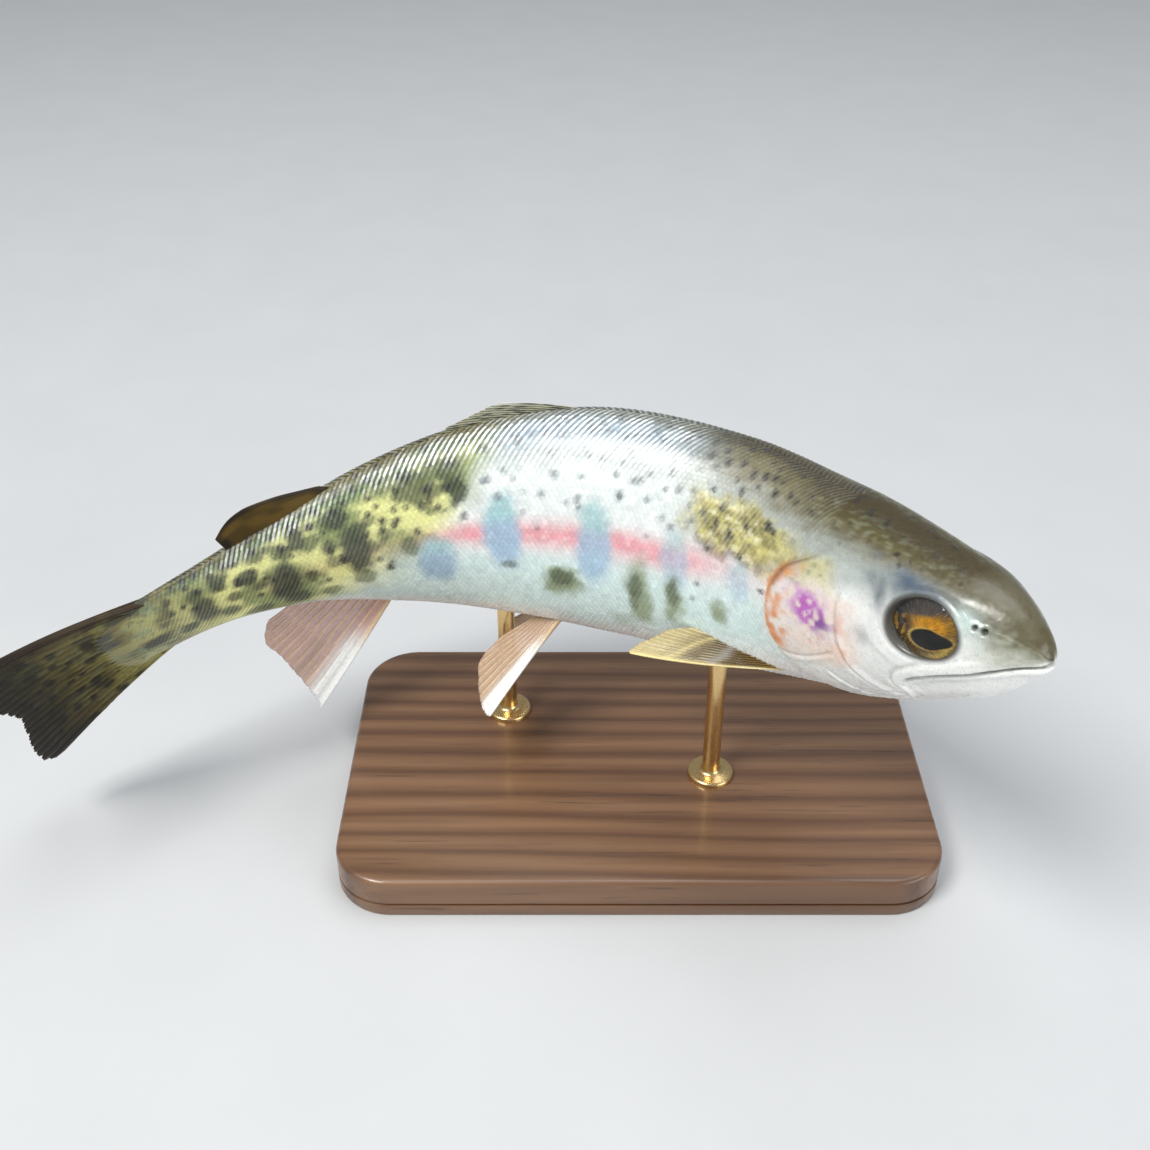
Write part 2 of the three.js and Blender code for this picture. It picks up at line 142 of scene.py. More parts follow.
def sample(table, xs, ys, x, y):
    """Bilinear look-up in a table over evenly spaced xs and ys."""
    u = np.clip((x - xs[0]) / (xs[-1] - xs[0]), 0, 1) * (len(xs) - 1)
    v = np.clip((y - ys[0]) / (ys[-1] - ys[0]), 0, 1) * (len(ys) - 1)
    i, j = np.minimum(u.astype(int), len(xs) - 2), np.minimum(v.astype(int), len(ys) - 2)
    fu, fv = u - i, v - j
    return ((table[i, j] * (1 - fu) + table[i + 1, j] * fu) * (1 - fv)
            + (table[i, j + 1] * (1 - fu) + table[i + 1, j + 1] * fu) * fv)


# ------------------------------------------------------------------ the body's form
_form = [pchip(np.sqrt(STATIONS[:, 0]), STATIONS[:, k]) for k in range(7)]


def form(k, s):
    return _form[k](np.sqrt(np.clip(s, 0, 1)))


def back_at(s):
    return form(1, s) * LENGTH


def belly_at(s):
    return form(2, s) * LENGTH


def skin(s, a):
    c, n = np.cos(a), np.sin(a)
    e = 2 / np.where(c >= 0, form(5, s), form(6, s))
    wide = form(4, s) * LENGTH
    tall = np.where(c >= 0, form(1, s) * LENGTH - wide, wide - form(2, s) * LENGTH)
    return (s * LENGTH + 0 * a, form(3, s) * LENGTH * np.sign(n) * np.abs(n) ** e,
            wide + tall * np.sign(c) * np.abs(c) ** e)


def skin_normal(s, a):
    def p(s, a):
        return np.stack(skin(s, a), -1)
    ds = p(np.minimum(s + 1e-3, 1), a) - p(np.maximum(s - 1e-3, 0), a)
    da = p(s, a + 4e-3) - p(s, a - 4e-3)
    n = np.cross(ds, da)
    return n / (np.linalg.norm(n, axis=-1, keepdims=True) + 1e-12)


_turn, _rise, _lean = [pchip(BEND[:, 0], BEND[:, k]) for k in (1, 2, 3)]


def axes(s):
    t, r, l = np.radians(_turn(s)), np.radians(_rise(s)), np.radians(_lean(s))
    ahead = np.stack([np.cos(r) * np.cos(t), -np.cos(r) * np.sin(t), np.sin(r)], -1)
    right0 = np.stack([-np.sin(t), -np.cos(t), 0 * t], -1)
    up0 = np.cross(right0, ahead)
    c, n = np.cos(l)[..., None], np.sin(l)[..., None]
    return ahead, c * right0 - n * up0, c * up0 + n * right0


STEPS, REACH = 468, 1.17
_ahead = axes(np.arange(STEPS + 1) / STEPS * REACH)[0]
SPINE = np.zeros((STEPS + 1, 3))
for _i in range(1, STEPS + 1):
    SPINE[_i] = SPINE[_i - 1] - 0.5 * (_ahead[_i - 1] + _ahead[_i]) * REACH / STEPS * LENGTH


def on_spine(s):
    s = np.asarray(s, float)
    t = np.clip(s / REACH, 0, 1) * STEPS
    i = np.minimum(np.floor(t).astype(int), STEPS - 1)
    f = (t - i)[..., None]
    past = np.where(s < 0, s, np.where(s > REACH, s - REACH, 0))
    return SPINE[i] * (1 - f) + SPINE[i + 1] * f - axes(s)[0] * (past * LENGTH)[..., None]


SHIFT = MID - on_spine(np.array(0.5))


def flex(x, y, z):
    s = np.asarray(x, float) / LENGTH
    _, right, up = axes(s)
    return on_spine(s) + SHIFT + right * np.asarray(y, float)[..., None] + up * np.asarray(z, float)[..., None]


# Distances along the skin round the body, from the lateral line at 88 degrees: minus
# up to the back, plus down to the belly.
TS, TF = np.linspace(0, 1, 301), np.linspace(0, 1, 361)
_ta = np.linspace(0, np.pi, 721)
_, _y, _z = skin(TS[:, None], _ta[None, :])
_arc = np.concatenate([np.zeros((len(TS), 1)), np.cumsum(np.hypot(np.diff(_y, axis=1), np.diff(_z, axis=1)), axis=1)], 1)
GIRTH = _arc[:, -1]                                            # half way round
SIDE_LINE = np.array([np.interp(np.radians(88), _ta, r) for r in _arc])
ANGLE_OF = np.array([np.interp(TF * r[-1], r, _ta) for r in _arc])
FRACTION_OF = np.array([r / max(r[-1], 1e-9) for r in _arc])


def girth(s):
    return np.interp(s, TS, GIRTH)


def side_line(s):
    return np.interp(s, TS, SIDE_LINE)


def angle_at(s, w):
    """Angle round the body, w mm below the lateral line; past the belly or back it runs on."""
    f = (w + side_line(s)) / girth(s)
    over, under = f > 1, f < 0
    g = np.where(over, 2 - f, np.where(under, -f, f))
    a = sample(ANGLE_OF, TS, TF, np.clip(s, 0, 1), np.clip(g, 0, 1))
    return np.where(over, 2 * np.pi - a, np.where(under, -a, a))


def below_line(s, a):
    """Distance below the lateral line in mm of angle a, 0 to a half turn."""
    return sample(FRACTION_OF, TS, _ta, np.clip(s, 0, 1), a) * girth(s) - side_line(s)


def placed(s, a, h):
    """Point h mm outside the bare form, in the CAD frame."""
    x, y, z = skin(s, a)
    n = skin_normal(s, a)
    return flex(x + n[..., 0] * h, y + n[..., 1] * h, z + n[..., 2] * h)


# Rear edge of the gill cover in the (s, z) plane.
_gill = pchip([-40, -21, -17, -14, -10, -4, 1.5, 6.5, 10.5, 40],
              [27, 27, 31, 38, 43.5, 46, 45.2, 41.5, 34.5, 34.5])


def gill_edge(a):
    x = np.full_like(np.asarray(a, float), 40.0)
    for _ in range(30):
        x = 0.5 * x + 0.5 * _gill(skin(x / LENGTH, a)[2])
    return x


_gt = np.linspace(0, np.pi, 361)
_gx = gill_edge(_gt)


def gill_near(a):
    """The gill edge from a table, for many points at once."""
    a = np.abs(np.asarray(a, float))
    return np.interp(np.where(a > np.pi, 2 * np.pi - a, a), _gt, _gx)


def open_slit(a):
    """1 where the gill cover ends in a free edge, 0 over the nape."""
    deg = np.degrees(np.where(np.abs(a) > np.pi, 2 * np.pi - np.abs(a), np.abs(a)))
    return step(50, 62, deg) * lerp(1, 0.55, step(160, 178, deg))


def skin_depth(x, a):
    """Depth in mm of the skin under the plain form, which the scales fill up."""
    past = x - gill_near(a)
    f = open_slit(a)
    nape = 0.30 * step(-1.0, 15.0, past)
    return lerp(nape, 0.33 - 0.03 * step(5, 25, past), f)


def coat_height(x, a):
    """How far the scales stand up, 0 to 1: shallow on the nape and on the tail fin's base."""
    past = x - gill_near(a)
    return lerp(0.18 + 0.82 * step(-1, 17, past), 0.5 + 0.5 * step(0, 7, past), open_slit(a)) \
        * (1 - 0.80 * step(0.925, 1.0, x / LENGTH))


# ------------------------------------------------------------------ the markings
def srgb(*c):
    c = np.array(c, float) / 255
    return np.where(c <= 0.04045, c / 12.92, ((c + 0.055) / 1.055) ** 2.4)


OLIVE_DARK = srgb(62, 52, 26)
OLIVE = srgb(104, 97, 54)
BROWN_GREY = srgb(122, 115, 86)
GREY_BACK = srgb(112, 122, 122)
BLUE_BACK = srgb(142, 160, 172)
GREY_PALE = srgb(194, 202, 198)
GOLD = srgb(208, 198, 118)
YELLOW = srgb(234, 235, 158)
GREEN = srgb(104, 127, 72)
SILVER = srgb(243, 250, 248)
MINT = srgb(220, 240, 237)
WHITE = srgb(249, 250, 247)
PINK = srgb(242, 158, 168)
PARR = srgb(168, 198, 222)
PARR_TEAL = srgb(166, 208, 212)
SMUDGE = srgb(124, 138, 78)
BLOTCH = srgb(32, 42, 34)
SPOT = srgb(40, 40, 36)
ORANGE = srgb(232, 146, 78)
MAGENTA = srgb(198, 108, 198)
BLUSH = srgb(250, 232, 220)
SLATE = srgb(82, 96, 114)
FIN_OLIVE = srgb(118, 106, 54)
FIN_DARK = srgb(52, 42, 24)
FIN_CREAM = srgb(236, 220, 160)
FIN_WHITE = srgb(242, 245, 246)
FIN_ROSE = srgb(206, 164, 158)
FIN_YELLOW = srgb(178, 152, 70)

# Parr marks along each side: at, degrees round, half length and half height in mm,
# strength.
PARR_MARKS = [
    (0.300, 88, 2.8, 4.0, 0.45), (0.386, 89, 3.5, 5.8, 0.62), (0.490, 89, 4.2, 7.6, 0.88), (0.601, 86, 4.2, 7.8, 0.94),
    (0.681, 99, 4.1, 4.9, 0.90), (0.762, 80, 3.2, 5.6, 0.92), (0.843, 92, 3.6, 5.0, 0.92), (0.927, 88, 2.6, 3.8, 0.88),
    (0.985, 90, 1.8, 3.2, 0.6),
]
# Olive smudges low on the flank and dark blotches of the rear: as above, with a
# darkness from 0 (olive) to 1 (black).
SMUDGES = [
    (0.388, 109, 2.6, 5.6, 0.80, 0.04), (0.388, 105, 1.5, 2.6, 0.60, 0.75), (0.434, 110, 3.1, 7.2, 0.80, 0.0), (0.438, 106, 1.7, 2.4, 0.60, 0.8),
    (0.442, 115, 1.2, 2.0, 0.5, 0.7), (0.531, 111, 4.8, 3.3, 0.88, 0.05), (0.533, 109, 2.5, 1.6, 0.66, 0.8), (0.327, 108, 2.4, 2.6, 0.82, 0.02),
    (0.598, 103, 2.0, 0.8, 0.55, 0.8), (0.46, 132, 3.0, 2.2, 0.3, 0.1),
    (0.650, 42, 2.4, 3.2, 0.80, 0.75), (0.645, 56, 1.7, 2.0, 0.80, 0.85), (0.693, 46, 3.4, 2.9, 0.80, 0.75), (0.672, 52, 1.6, 1.4, 0.7, 0.9),
    (0.668, 35, 2.0, 2.0, 0.6, 0.6), (0.720, 33, 2.2, 1.8, 0.7, 0.6), (0.775, 46, 2.4, 2.0, 0.85, 0.9), (0.706, 88, 1.6, 2.0, 0.6, 0.7),
    (0.817, 44, 1.8, 3.0, 0.85, 0.9), (0.756, 66, 2.0, 2.4, 0.7, 0.8), (0.789, 68, 1.5, 1.5, 0.7, 0.8), (0.742, 58, 1.5, 1.2, 0.6, 0.9),
    (0.833, 55, 1.5, 1.3, 0.7, 0.8), (0.877, 66, 2.3, 1.8, 0.8, 0.9), (0.905, 50, 1.5, 2.3, 0.8, 0.9), (0.862, 40, 1.8, 1.6, 0.7, 0.7),
    (0.93, 58, 1.3, 2.0, 0.7, 0.8), (0.963, 62, 1.5, 2.0, 0.8, 0.9), (0.985, 48, 1.3, 1.6, 0.7, 0.9), (0.948, 108, 2.0, 1.6, 0.8, 0.9),
    (0.836, 120, 2.6, 2.2, 0.8, 0.9), (0.762, 106, 2.2, 1.9, 0.6, 0.7), (0.905, 108, 2.2, 1.8, 0.75, 0.8), (0.875, 128, 2.4, 1.6, 0.7, 0.8),
    (0.815, 92, 1.5, 1.6, 0.7, 0.9), (0.885, 30, 2.0, 1.3, 0.6, 0.7), (0.84, 18, 2.1, 1.5, 0.5, 0.6), (0.80, 118, 2.0, 1.2, 0.6, 0.6),
    (0.895, 84, 1.3, 1.2, 0.7, 0.9), (0.868, 84, 1.5, 1.1, 0.6, 0.9), (0.79, 84, 1.2, 1.4, 0.6, 0.8), (0.73, 74, 1.5, 1.2, 0.6, 0.8),
]
# Small spots that stand out on the near side of the upper flank: at, degrees, radius.
NAMED_SPOTS = [
    (0.206, 55, 1.15), (0.182, 61, 0.9), (0.228, 56, 0.7), (0.267, 54, 0.9), (0.257, 56, 0.65), (0.240, 68, 0.6),
    (0.318, 68, 0.8), (0.338, 65, 0.65), (0.357, 62, 0.7), (0.335, 57, 0.6), (0.30, 76, 0.65), (0.345, 79, 0.55),
    (0.375, 53, 0.6), (0.391, 54, 0.75), (0.409, 57, 0.45), (0.430, 49, 0.6), (0.449, 55, 0.6), (0.458, 39, 0.65),
    (0.473, 37, 0.5), (0.470, 53, 0.75), (0.488, 45, 0.55), (0.503, 43, 0.5), (0.509, 57, 0.55), (0.540, 56, 0.7),
    (0.462, 65, 0.7), (0.428, 63, 0.5), (0.376, 61, 0.4), (0.375, 71, 0.5), (0.407, 71, 0.5), (0.394, 74, 0.6),
    (0.510, 72, 0.6), (0.554, 66, 0.6), (0.525, 70, 0.4), (0.603, 65, 0.65), (0.595, 50, 0.55), (0.618, 55, 0.5),
    (0.585, 56, 0.5), (0.580, 32, 0.7), (0.613, 33, 0.55), (0.574, 64, 0.4), (0.576, 75, 0.5), (0.545, 42, 0.5),
    (0.668, 65, 0.75), (0.686, 62, 0.7), (0.717, 69, 0.7), (0.731, 70, 0.6), (0.642, 73, 0.75), (0.694, 78, 0.6),
    (0.741, 53, 0.6), (0.737, 40, 0.7), (0.760, 33, 0.55), (0.80, 40, 0.6), (0.85, 40, 0.5), (0.86, 76, 0.55),
    (0.702, 31, 0.6), (0.789, 28, 0.6), (0.78, 80, 0.5), (0.80, 101, 0.6), (0.87, 96, 0.6), (0.73, 96, 0.45),
    (0.133, 57, 0.55), (0.163, 70, 0.6), (0.142, 93, 0.7), (0.155, 45, 0.5), (0.171, 79, 0.4), (0.118, 40, 0.5),
    (0.355, 96, 0.45), (0.362, 104, 0.5), (0.27, 88, 0.45),
]


def scattered_spots(seed, side):
    """Small round spots, thick on the back and tail, scarce on the flank."""
    rng = np.random.default_rng(seed)
    out = []
    tries = 0
    while len(out) < (185 if side > 0 else 260) and tries < 9000:
        tries += 1
        s, a = rng.uniform(0.10, 0.99), rng.uniform(2, 112)
        chance = (0.75 * step(50, 25, a) + 0.32 * step(92, 60, a)) * (0.55 + 0.45 * step(0.3, 0.7, s)) \
            + 0.35 * step(0.64, 0.72, s) * step(112, 70, a)
        if side > 0:      # the near flank has its spots named above
            chance *= 0.25 + 0.75 * step(42, 26, a)
        if s < 0.22:
            chance *= 0.45 * step(70, 40, a)
        if rng.uniform() > chance:
            continue
        r = rng.uniform(0.38, 0.75) * (1 + 0.25 * step(0.7, 0.95, s))
        w = below_line(np.array(s), np.radians(np.array(a)))
        if all(math.hypot((s - q[0]) * LENGTH, w - q[3]) > 1.5 * (r + q[2]) for q in out):
            out.append((s, a, r, float(w)))
    return [(q[0], q[1], q[2]) for q in out]


SPOTS = {1: NAMED_SPOTS + scattered_spots(41, 1), -1: [
    (s + 0.011 * math.sin(37 * s + a), a + 4 * math.sin(21 * s), r) for s, a, r in NAMED_SPOTS[::2]] + scattered_spots(97, -1)}


def tail_tone(x, z):
    """Colour of the tail's base and fin at x mm along the body and height z."""
    past = x - LENGTH
    n1 = noise(x * 0.55, z * 1.15, 0 * x, 3.4, 71)
    n2 = noise(x * 0.60, z * 1.9, 0 * x, 1.7, 72)
    n3 = noise(x, z * 1.5, 0 * x, 0.8, 73)

    def to(col, colour, k):
        k = np.clip(k, 0, 1)[..., None]
        return col * (1 - k) + colour * k
    col = np.tile(srgb(132, 124, 64), (*np.shape(x), 1))
    out = step(4.0, 23.0, past + 5 * (n1 - 0.5))
    col = to(col, YELLOW * 0.78, 0.70 * step(0.52, 0.74, n1) * step(14, -2, past))
    col = to(col, srgb(140, 168, 140), 0.50 * step(0.58, 0.76, n2) * (1 - 0.8 * out))
    col = to(col, FIN_OLIVE * 0.70, 0.60 * step(-6, 4, past))
    col = to(col, FIN_DARK * 0.75, 0.90 * out)
    col = to(col, BLOTCH, 0.85 * step(0.46, 0.33, n1 * 0.55 + n2 * 0.45) * (1 - 0.3 * out))
    col = to(col, BLOTCH, 0.5 * step(0.70, 0.85, n3) * (1 - out))
    return col


def paint(s, a, left):
    """Colour, silveriness and glint of the skin at fraction s and angle a (0 to a half
    turn) on the left or right side: all numbers, so skin and scales share it."""
    s, a = np.asarray(s, float).ravel(), np.asarray(a, float).ravel()
    left = np.broadcast_to(np.ravel(left), s.shape)
    deg = np.degrees(a)
    x, y, z = skin(s, a)
    y = np.where(left, -y, y)
    n1 = fbm(x, y, z, 9.0, 3)
    n2 = fbm(x, y, z, 3.2, 5)
    n3 = noise(x, y, z, 1.15, 7)
    n4 = noise(x, y, z, 0.55, 9)
    d = deg + 16 * (n1 - 0.5) + 7 * (n2 - 0.5)
    w = below_line(s, a)

    def to(col, colour, k):
        k = np.clip(k, 0, 1)[:, None]
        return col * (1 - k) + colour * k

    ns = noise(x * 0.30, y * 1.2, z * 1.7, 1.25, 81)              # streaks along the head
    nf = noise(x * 0.42, y * 1.3, z * 1.9, 0.62, 83)
    # rear: where the tail's yellow-olive takes over from the middle's silver and painted sky reflection
    rear = step(0.618, 0.668, s + 0.045 * (n1 - 0.5) + 0.02 * (n2 - 0.5) + 0.0010 * (60 - deg))
    head = step(0.265, 0.20, s)
    front = step(0.445, 0.325, s + 0.0006 * np.clip(deg - 30, 0, 60))

    # back to belly on the middle of the body: the silver flank, with a painted sky reflection that pales the back to
    # blue-grey and the upper flank to white
    col = np.tile(GREY_BACK * 0.95, (len(s), 1))
    col = to(col, OLIVE, 0.40 * step(18, 3, d))
    col = to(col, BLUE_BACK, step(10, 26, d))
    col = to(col, GREY_PALE, step(30, 46, d))
    col = to(col, SILVER, step(40, 58, d))
    col = to(col, MINT, step(84, 104, d))
    col = to(col, WHITE, step(128, 152, d))
    # front: brown-olive nape, pale shoulder, gold patch above the stripe
    fr = np.tile(OLIVE_DARK, (len(s), 1))
    fr = to(fr, OLIVE, 0.6 * step(6, 18, d))
    fr = to(fr, BROWN_GREY * 0.9, step(12, 28, d))
    fr = to(fr, OLIVE_DARK, 0.55 * step(0.50, 0.72, n2) * step(38, 16, d))
    fr = to(fr, GREY_PALE * 0.90, step(28, 54, d + 16 * (ns - 0.5)))
    fr = to(fr, BROWN_GREY, 0.35 * band(24, 52, 8, d) * step(0.45, 0.70, ns))
    fr = to(fr, SILVER, 0.75 * step(64, 86, d))
    fr = to(fr, MINT, step(86, 100, d))
    fr = to(fr, WHITE, step(115, 140, d))
    col = col * (1 - front[:, None]) + fr * front[:, None]
    soft = np.where(left, 2.0, 1.0)
    gold = band(0.165, 0.372, 0.022 * soft, s + 0.045 * soft * (n2 - 0.5) + 0.02 * (n3 - 0.5)) \
        * band(50, 78, 4.5 * soft, deg + 15 * soft * (n2 - 0.5) + 5 * (n3 - 0.5))
    n5 = noise(x, y, z, 0.8, 15)
    col = to(col, GOLD * (0.62 + 0.62 * n4[:, None]), 0.95 * gold)
    col = to(col, OLIVE * 0.95, 0.55 * gold * step(0.42, 0.62, n3 * 0.5 + n2 * 0.5))
    col = to(col, OLIVE_DARK, 0.52 * gold * step(0.66, 0.76, n5))
    col = to(col, srgb(250, 246, 206), 0.65 * gold * step(0.36, 0.24, n5))
    lower = bell(deg + 12 * (n2 - 0.5) - 78, 3.0) * band(0.245, 0.366, 0.016, s) / soft
    col = to(col, OLIVE_DARK * 1.2, 0.55 * lower * step(0.3, 0.6, n3))
    # rear: yellow-olive down to the belly edge, mottled with green-black
    re = np.tile(OLIVE * 0.85, (len(s), 1))
    re = to(re, GREEN * 0.78, step(8, 26, d))
    re = to(re, YELLOW, step(26, 46, d + 26 * (n2 - 0.5)))
    re = to(re, GREEN, 0.78 * step(0.53, 0.68, n1) * step(26, 44, d))
    re = to(re, GREEN * 0.45, 0.82 * step(0.60, 0.74, n2 + 0.10 * (n3 - 0.5)) * step(120, 96, deg))
    re = to(re, SILVER, 0.35 * step(90, 112, d) * step(0.84, 0.74, s))
    re = to(re, MINT, step(112 + 30 * step(0.72, 0.86, s), 132 + 30 * step(0.72, 0.86, s), d))
    re = to(re, WHITE, 0.7 * step(148, 170, d))
    low = step(0.655, 0.775, s - 0.0018 * (deg - 92) * (deg > 92))   # the pale belly reaches further back
    mix = rear * lerp(1, low, step(80, 96, deg))
    col = col * (1 - mix[:, None]) + re * mix[:, None]
    dusk = step(0.86, 1.0, s)
    col = to(col, OLIVE * 0.55, 0.60 * dusk * step(0.36, 0.66, n2 + 0.20 * dusk))
    col = to(col, OLIVE_DARK * 1.1, 0.45 * dusk * step(0.60, 0.80, n2))

    # the salmon-pink stripe, brightest between the parr marks
    centre = 86 + 1.5 * np.sin(17 * s)
    stripe = bell(d * 0.35 + deg * 0.65 - centre, 5.6) * step(0.28, 0.41, s) * step(0.71, 0.63, s)
    col = to(col, PINK, 0.88 * np.clip(stripe * (0.80 + 0.6 * n2), 0, 1))
    col = to(col, WHITE, 0.45 * stripe * step(0.52, 0.74, 0.6 * n3 + 0.4 * n4))
    faint = bell(deg - centre, 9) * step(0.2, 0.28, s) * step(1.0, 0.75, s)
    col = to(col, PINK, 0.13 * faint)

    # parr marks and smudges
    for at, ang, rx, ry, k in PARR_MARKS:
        sh = np.where(left, 0.012 * math.sin(90 * at), 0)
        dx = (s - at - sh) * LENGTH
        near = np.abs(dx) < rx * 2.2
        if not near.any():
            continue
        w0 = below_line(np.array([at]), np.radians(np.array([ang])))[0]
        i = np.nonzero(near)[0]
        q = (np.abs(dx[i] / rx) ** 2.5 + np.abs((w[i] - w0) / ry) ** 2.5) ** 0.4 + 0.50 * (n2[i] - 0.5) + 0.22 * (n3[i] - 0.5)
        m = step(1.18, 0.58, q) * k
        dark = step(0.66, 0.755, at)
        high = step(-0.05, -0.55, (w[i] - w0) / ry)[:, None] * (1 - dark)
        tone = (PARR * (1 - dark) + BLOTCH * 1.3 * dark) * (1 - high) + PARR_TEAL * high
        # marks read blue-grey on the silver and dull the pink
        col[i] = col[i] * (1 - m[:, None]) + tone * m[:, None]
    for at, ang, rx, ry, k, black in SMUDGES:
        shift = np.where(left, 0.017 * math.sin(57 * at + ang), 0)
        dx = (s - at - shift) * LENGTH
        i = np.nonzero(np.abs(dx) < rx * 2.2)[0]
        if not len(i):
            continue
        w0 = below_line(np.array([at]), np.radians(np.array([ang])))[0]
        q = np.hypot(dx[i] / rx, (w[i] - w0) / ry) + 0.8 * (n2[i] - 0.5) + 0.35 * (n3[i] - 0.5)
        m = (0.88 * step(1.22, 0.48, q) if black < 0.5 else step(1.16, 0.74, q * 0.94)) * min(1, k * 1.08)
        col[i] = col[i] * (1 - m[:, None]) + (SMUDGE * (1 - black) + BLOTCH * black) * m[:, None]
    # small spots
    soft = 0.32
    for side in (1, -1):
        mine = left == (side < 0)
        for at, ang, r in SPOTS[side]:
            i = np.nonzero(mine & (np.abs(s - at) * LENGTH < r * 2.4))[0]
            if not len(i):
                continue
            w0 = below_line(np.array([at]), np.radians(np.array([ang])))[0]
            q = np.hypot((s[i] - at) * LENGTH, (w[i] - w0) * 0.85) / r + 0.9 * (n3[i] - 0.5)
            k = step(1.0 + soft, 1.0 - soft, q) * (0.62 + 0.3 * step(0.6, 0.72, at) + 0.36 * step(0.38, 0.33, at))
            # spots on the silvery middle look slate, elsewhere near black
            tone = SPOT + (SLATE - SPOT) * 0.75 * float(band(0.37, 0.64, 0.02, np.array(at))) * float(step(25, 40, np.array(ang)))
            col[i] = col[i] * (1 - k[:, None]) + tone * k[:, None]
    tail = step(0.945, 0.992, s + 0.02 * (n2 - 0.5))
    i = np.nonzero(tail > 0)[0]
    if len(i):
        k = tail[i][:, None]
        col[i] = col[i] * (1 - k) + tail_tone(x[i], z[i]) * k
    # fine dark peppering of the back and rear
    pepper = step(0.74, 0.9, n4) * (0.35 * step(60, 20, deg) + 0.25 * rear * step(110, 80, deg))
    col = to(col, SPOT, 0.5 * pepper)

    # the head: olive crown, silver cheeks, painted gill cover
    dh = deg + 10 * (n1 - 0.5) + 8 * (n2 - 0.5) + 5 * (n3 - 0.5)
    crown = np.tile(OLIVE_DARK, (len(s), 1))
    dc = deg + 4 * (n1 - 0.5) + 5 * (n2 - 0.5) + 7 * (nf - 0.5)
    crown = to(crown, OLIVE * 0.66, step(8, 24, dc))
    crown = to(crown, BROWN_GREY * 0.74, step(18, 38, dc))
    crown = to(crown, GREY_PALE * 0.90, step(30, 58, dc + 5 * (ns - 0.5)))
    crown = to(crown, WHITE, step(54, 82, dh))
    crown = to(crown, OLIVE_DARK, 0.35 * step(0.48, 0.72, n2) * step(50, 22, deg))
    crown = to(crown, OLIVE_DARK * 1.1, 0.50 * step(0.56, 0.70, nf) * step(62, 26, dc))
    crown = to(crown, srgb(168, 178, 160), 0.20 * step(0.48, 0.26, nf) * band(10, 58, 10, dc))
    crown = to(crown, SPOT, 0.75 * step(0.74, 0.84, n3 + 0.12 * (n4 - 0.5)) * step(52, 34, deg))
    crown = to(crown, SLATE * 1.1, 0.40 * step(0.60, 0.80, n2) * band(30, 78, 10, deg) * step(0.2, 0.12, s))
    snout = step(0.066, 0.016, s)
    # height on the section: 1 at the back, 0 at the widest level, -1 at the belly
    level = form(4, s) * LENGTH
    up = z - level
    hz = np.where(up > 0, up / np.maximum(back_at(s) - level, 0.5), up / np.maximum(level - belly_at(s), 0.5))
    hz = hz + 0.30 * (ns - 0.5) + 0.22 * (n3 - 0.5) + 0.14 * (nf - 0.5)
    crown = to(crown, srgb(182, 186, 170), 0.85 * snout * step(-0.62, 0.10, hz))
    crown = to(crown, srgb(138, 140, 114), 0.75 * snout * step(-0.20, 0.72, hz))
    crown = to(crown, OLIVE_DARK * 1.3, 0.80 * step(0.11, 0.03, s) * step(0.25, 1.0, hz))
    crown = to(crown, OLIVE_DARK * 1.5, 0.55 * step(0.085, 0.02, s) * step(0.50, 0.70, n2) * step(-0.15, 0.5, hz))
    crown = to(crown, MINT * 0.95, 0.45 * step(0.085, 0.03, s) * step(0.46, 0.30, n2) * band(40, 84, 8, deg))
    crown = to(crown, MINT, 0.65 * bell((s - 0.050) * LENGTH, 2.0) * bell(deg - 62, 15))
    # painted blue-grey shade over the eye
    crown = to(crown, SLATE, 0.88 * bell((s - 0.098) * LENGTH, 4.2) * bell(deg - 49, 9.5) * (0.55 + 0.9 * n2))
    # painted shade behind the deep-set eye
    crown = to(crown, SLATE * 0.7, 0.85 * bell((s - 0.128) * LENGTH, 1.3) * bell(deg - 66, 13) * (0.6 + 0.6 * n3))
    crown = to(crown, SLATE, 0.62 * bell((s - 0.150) * LENGTH, 1.7) * bell(deg - 94, 5))
    crown = to(crown, SLATE, 0.50 * bell((s - 0.139) * LENGTH, 1.2) * bell(deg - 56, 6))
    crown = to(crown, MINT * 0.85, 0.6 * bell((s - 0.14) * LENGTH, 5) * bell(deg - 122, 12))
    crown = to(crown, WHITE, lerp(step(104, 122, deg), step(-0.40, -0.80, hz), snout) * 0.9)
    col = col * (1 - head[:, None]) + crown * head[:, None]
    golden = band(0.178, 0.262, 0.012, s) * band(56, 80, 5, deg + 8 * (n2 - 0.5))
    col = to(col, GOLD, 0.62 * golden * step(0.15, 0.5, n2))
    col = to(col, OLIVE * 0.7, 0.50 * golden * step(0.55, 0.78, n3))
    ope = band(0.158, 0.262, 0.014, s + 0.02 * (n2 - 0.5)) * band(76, 118, 6, deg + 14 * (n2 - 0.5))
    col = to(col, BLUSH, 0.90 * ope)
    rim = gill_near(a) - x
    col = to(col, ORANGE, 0.85 * step(4.6, 0.9, rim + 3.4 * (n3 - 0.5)) * band(66, 116, 6, deg) * head_cover(s, deg))
    col = to(col, WHITE, 0.70 * ope * step(0.44, 0.72, n3 * 0.55 + n2 * 0.45))
    col = to(col, ORANGE, 0.48 * bell((s - 0.172) * LENGTH, 1.5) * band(84, 118, 8, deg) * step(0.3, 0.75, n3))
    mag = bell((s - 0.204) * LENGTH + 0.10 * (deg - 90), 3.4) * bell(deg - 88, 9.0)
    col = to(col, MAGENTA, np.clip(mag * (0.25 + 1.5 * step(0.34, 0.66, n3)), 0, 1))
    col = to(col, WHITE, 0.45 * np.clip(mag * 1.4, 0, 1) * step(0.66, 0.80, n4))
    col = to(col, srgb(108, 84, 148), 0.75 * bell((s - 0.193) * LENGTH, 1.6) * bell(deg - 93, 4.5) * step(0.2, 0.6, n3))
    col = to(col, ORANGE * 1.1, 0.45 * bell((s - 0.205) * LENGTH, 4.5) * bell(deg - 106, 6) * step(0.45, 0.7, n3))
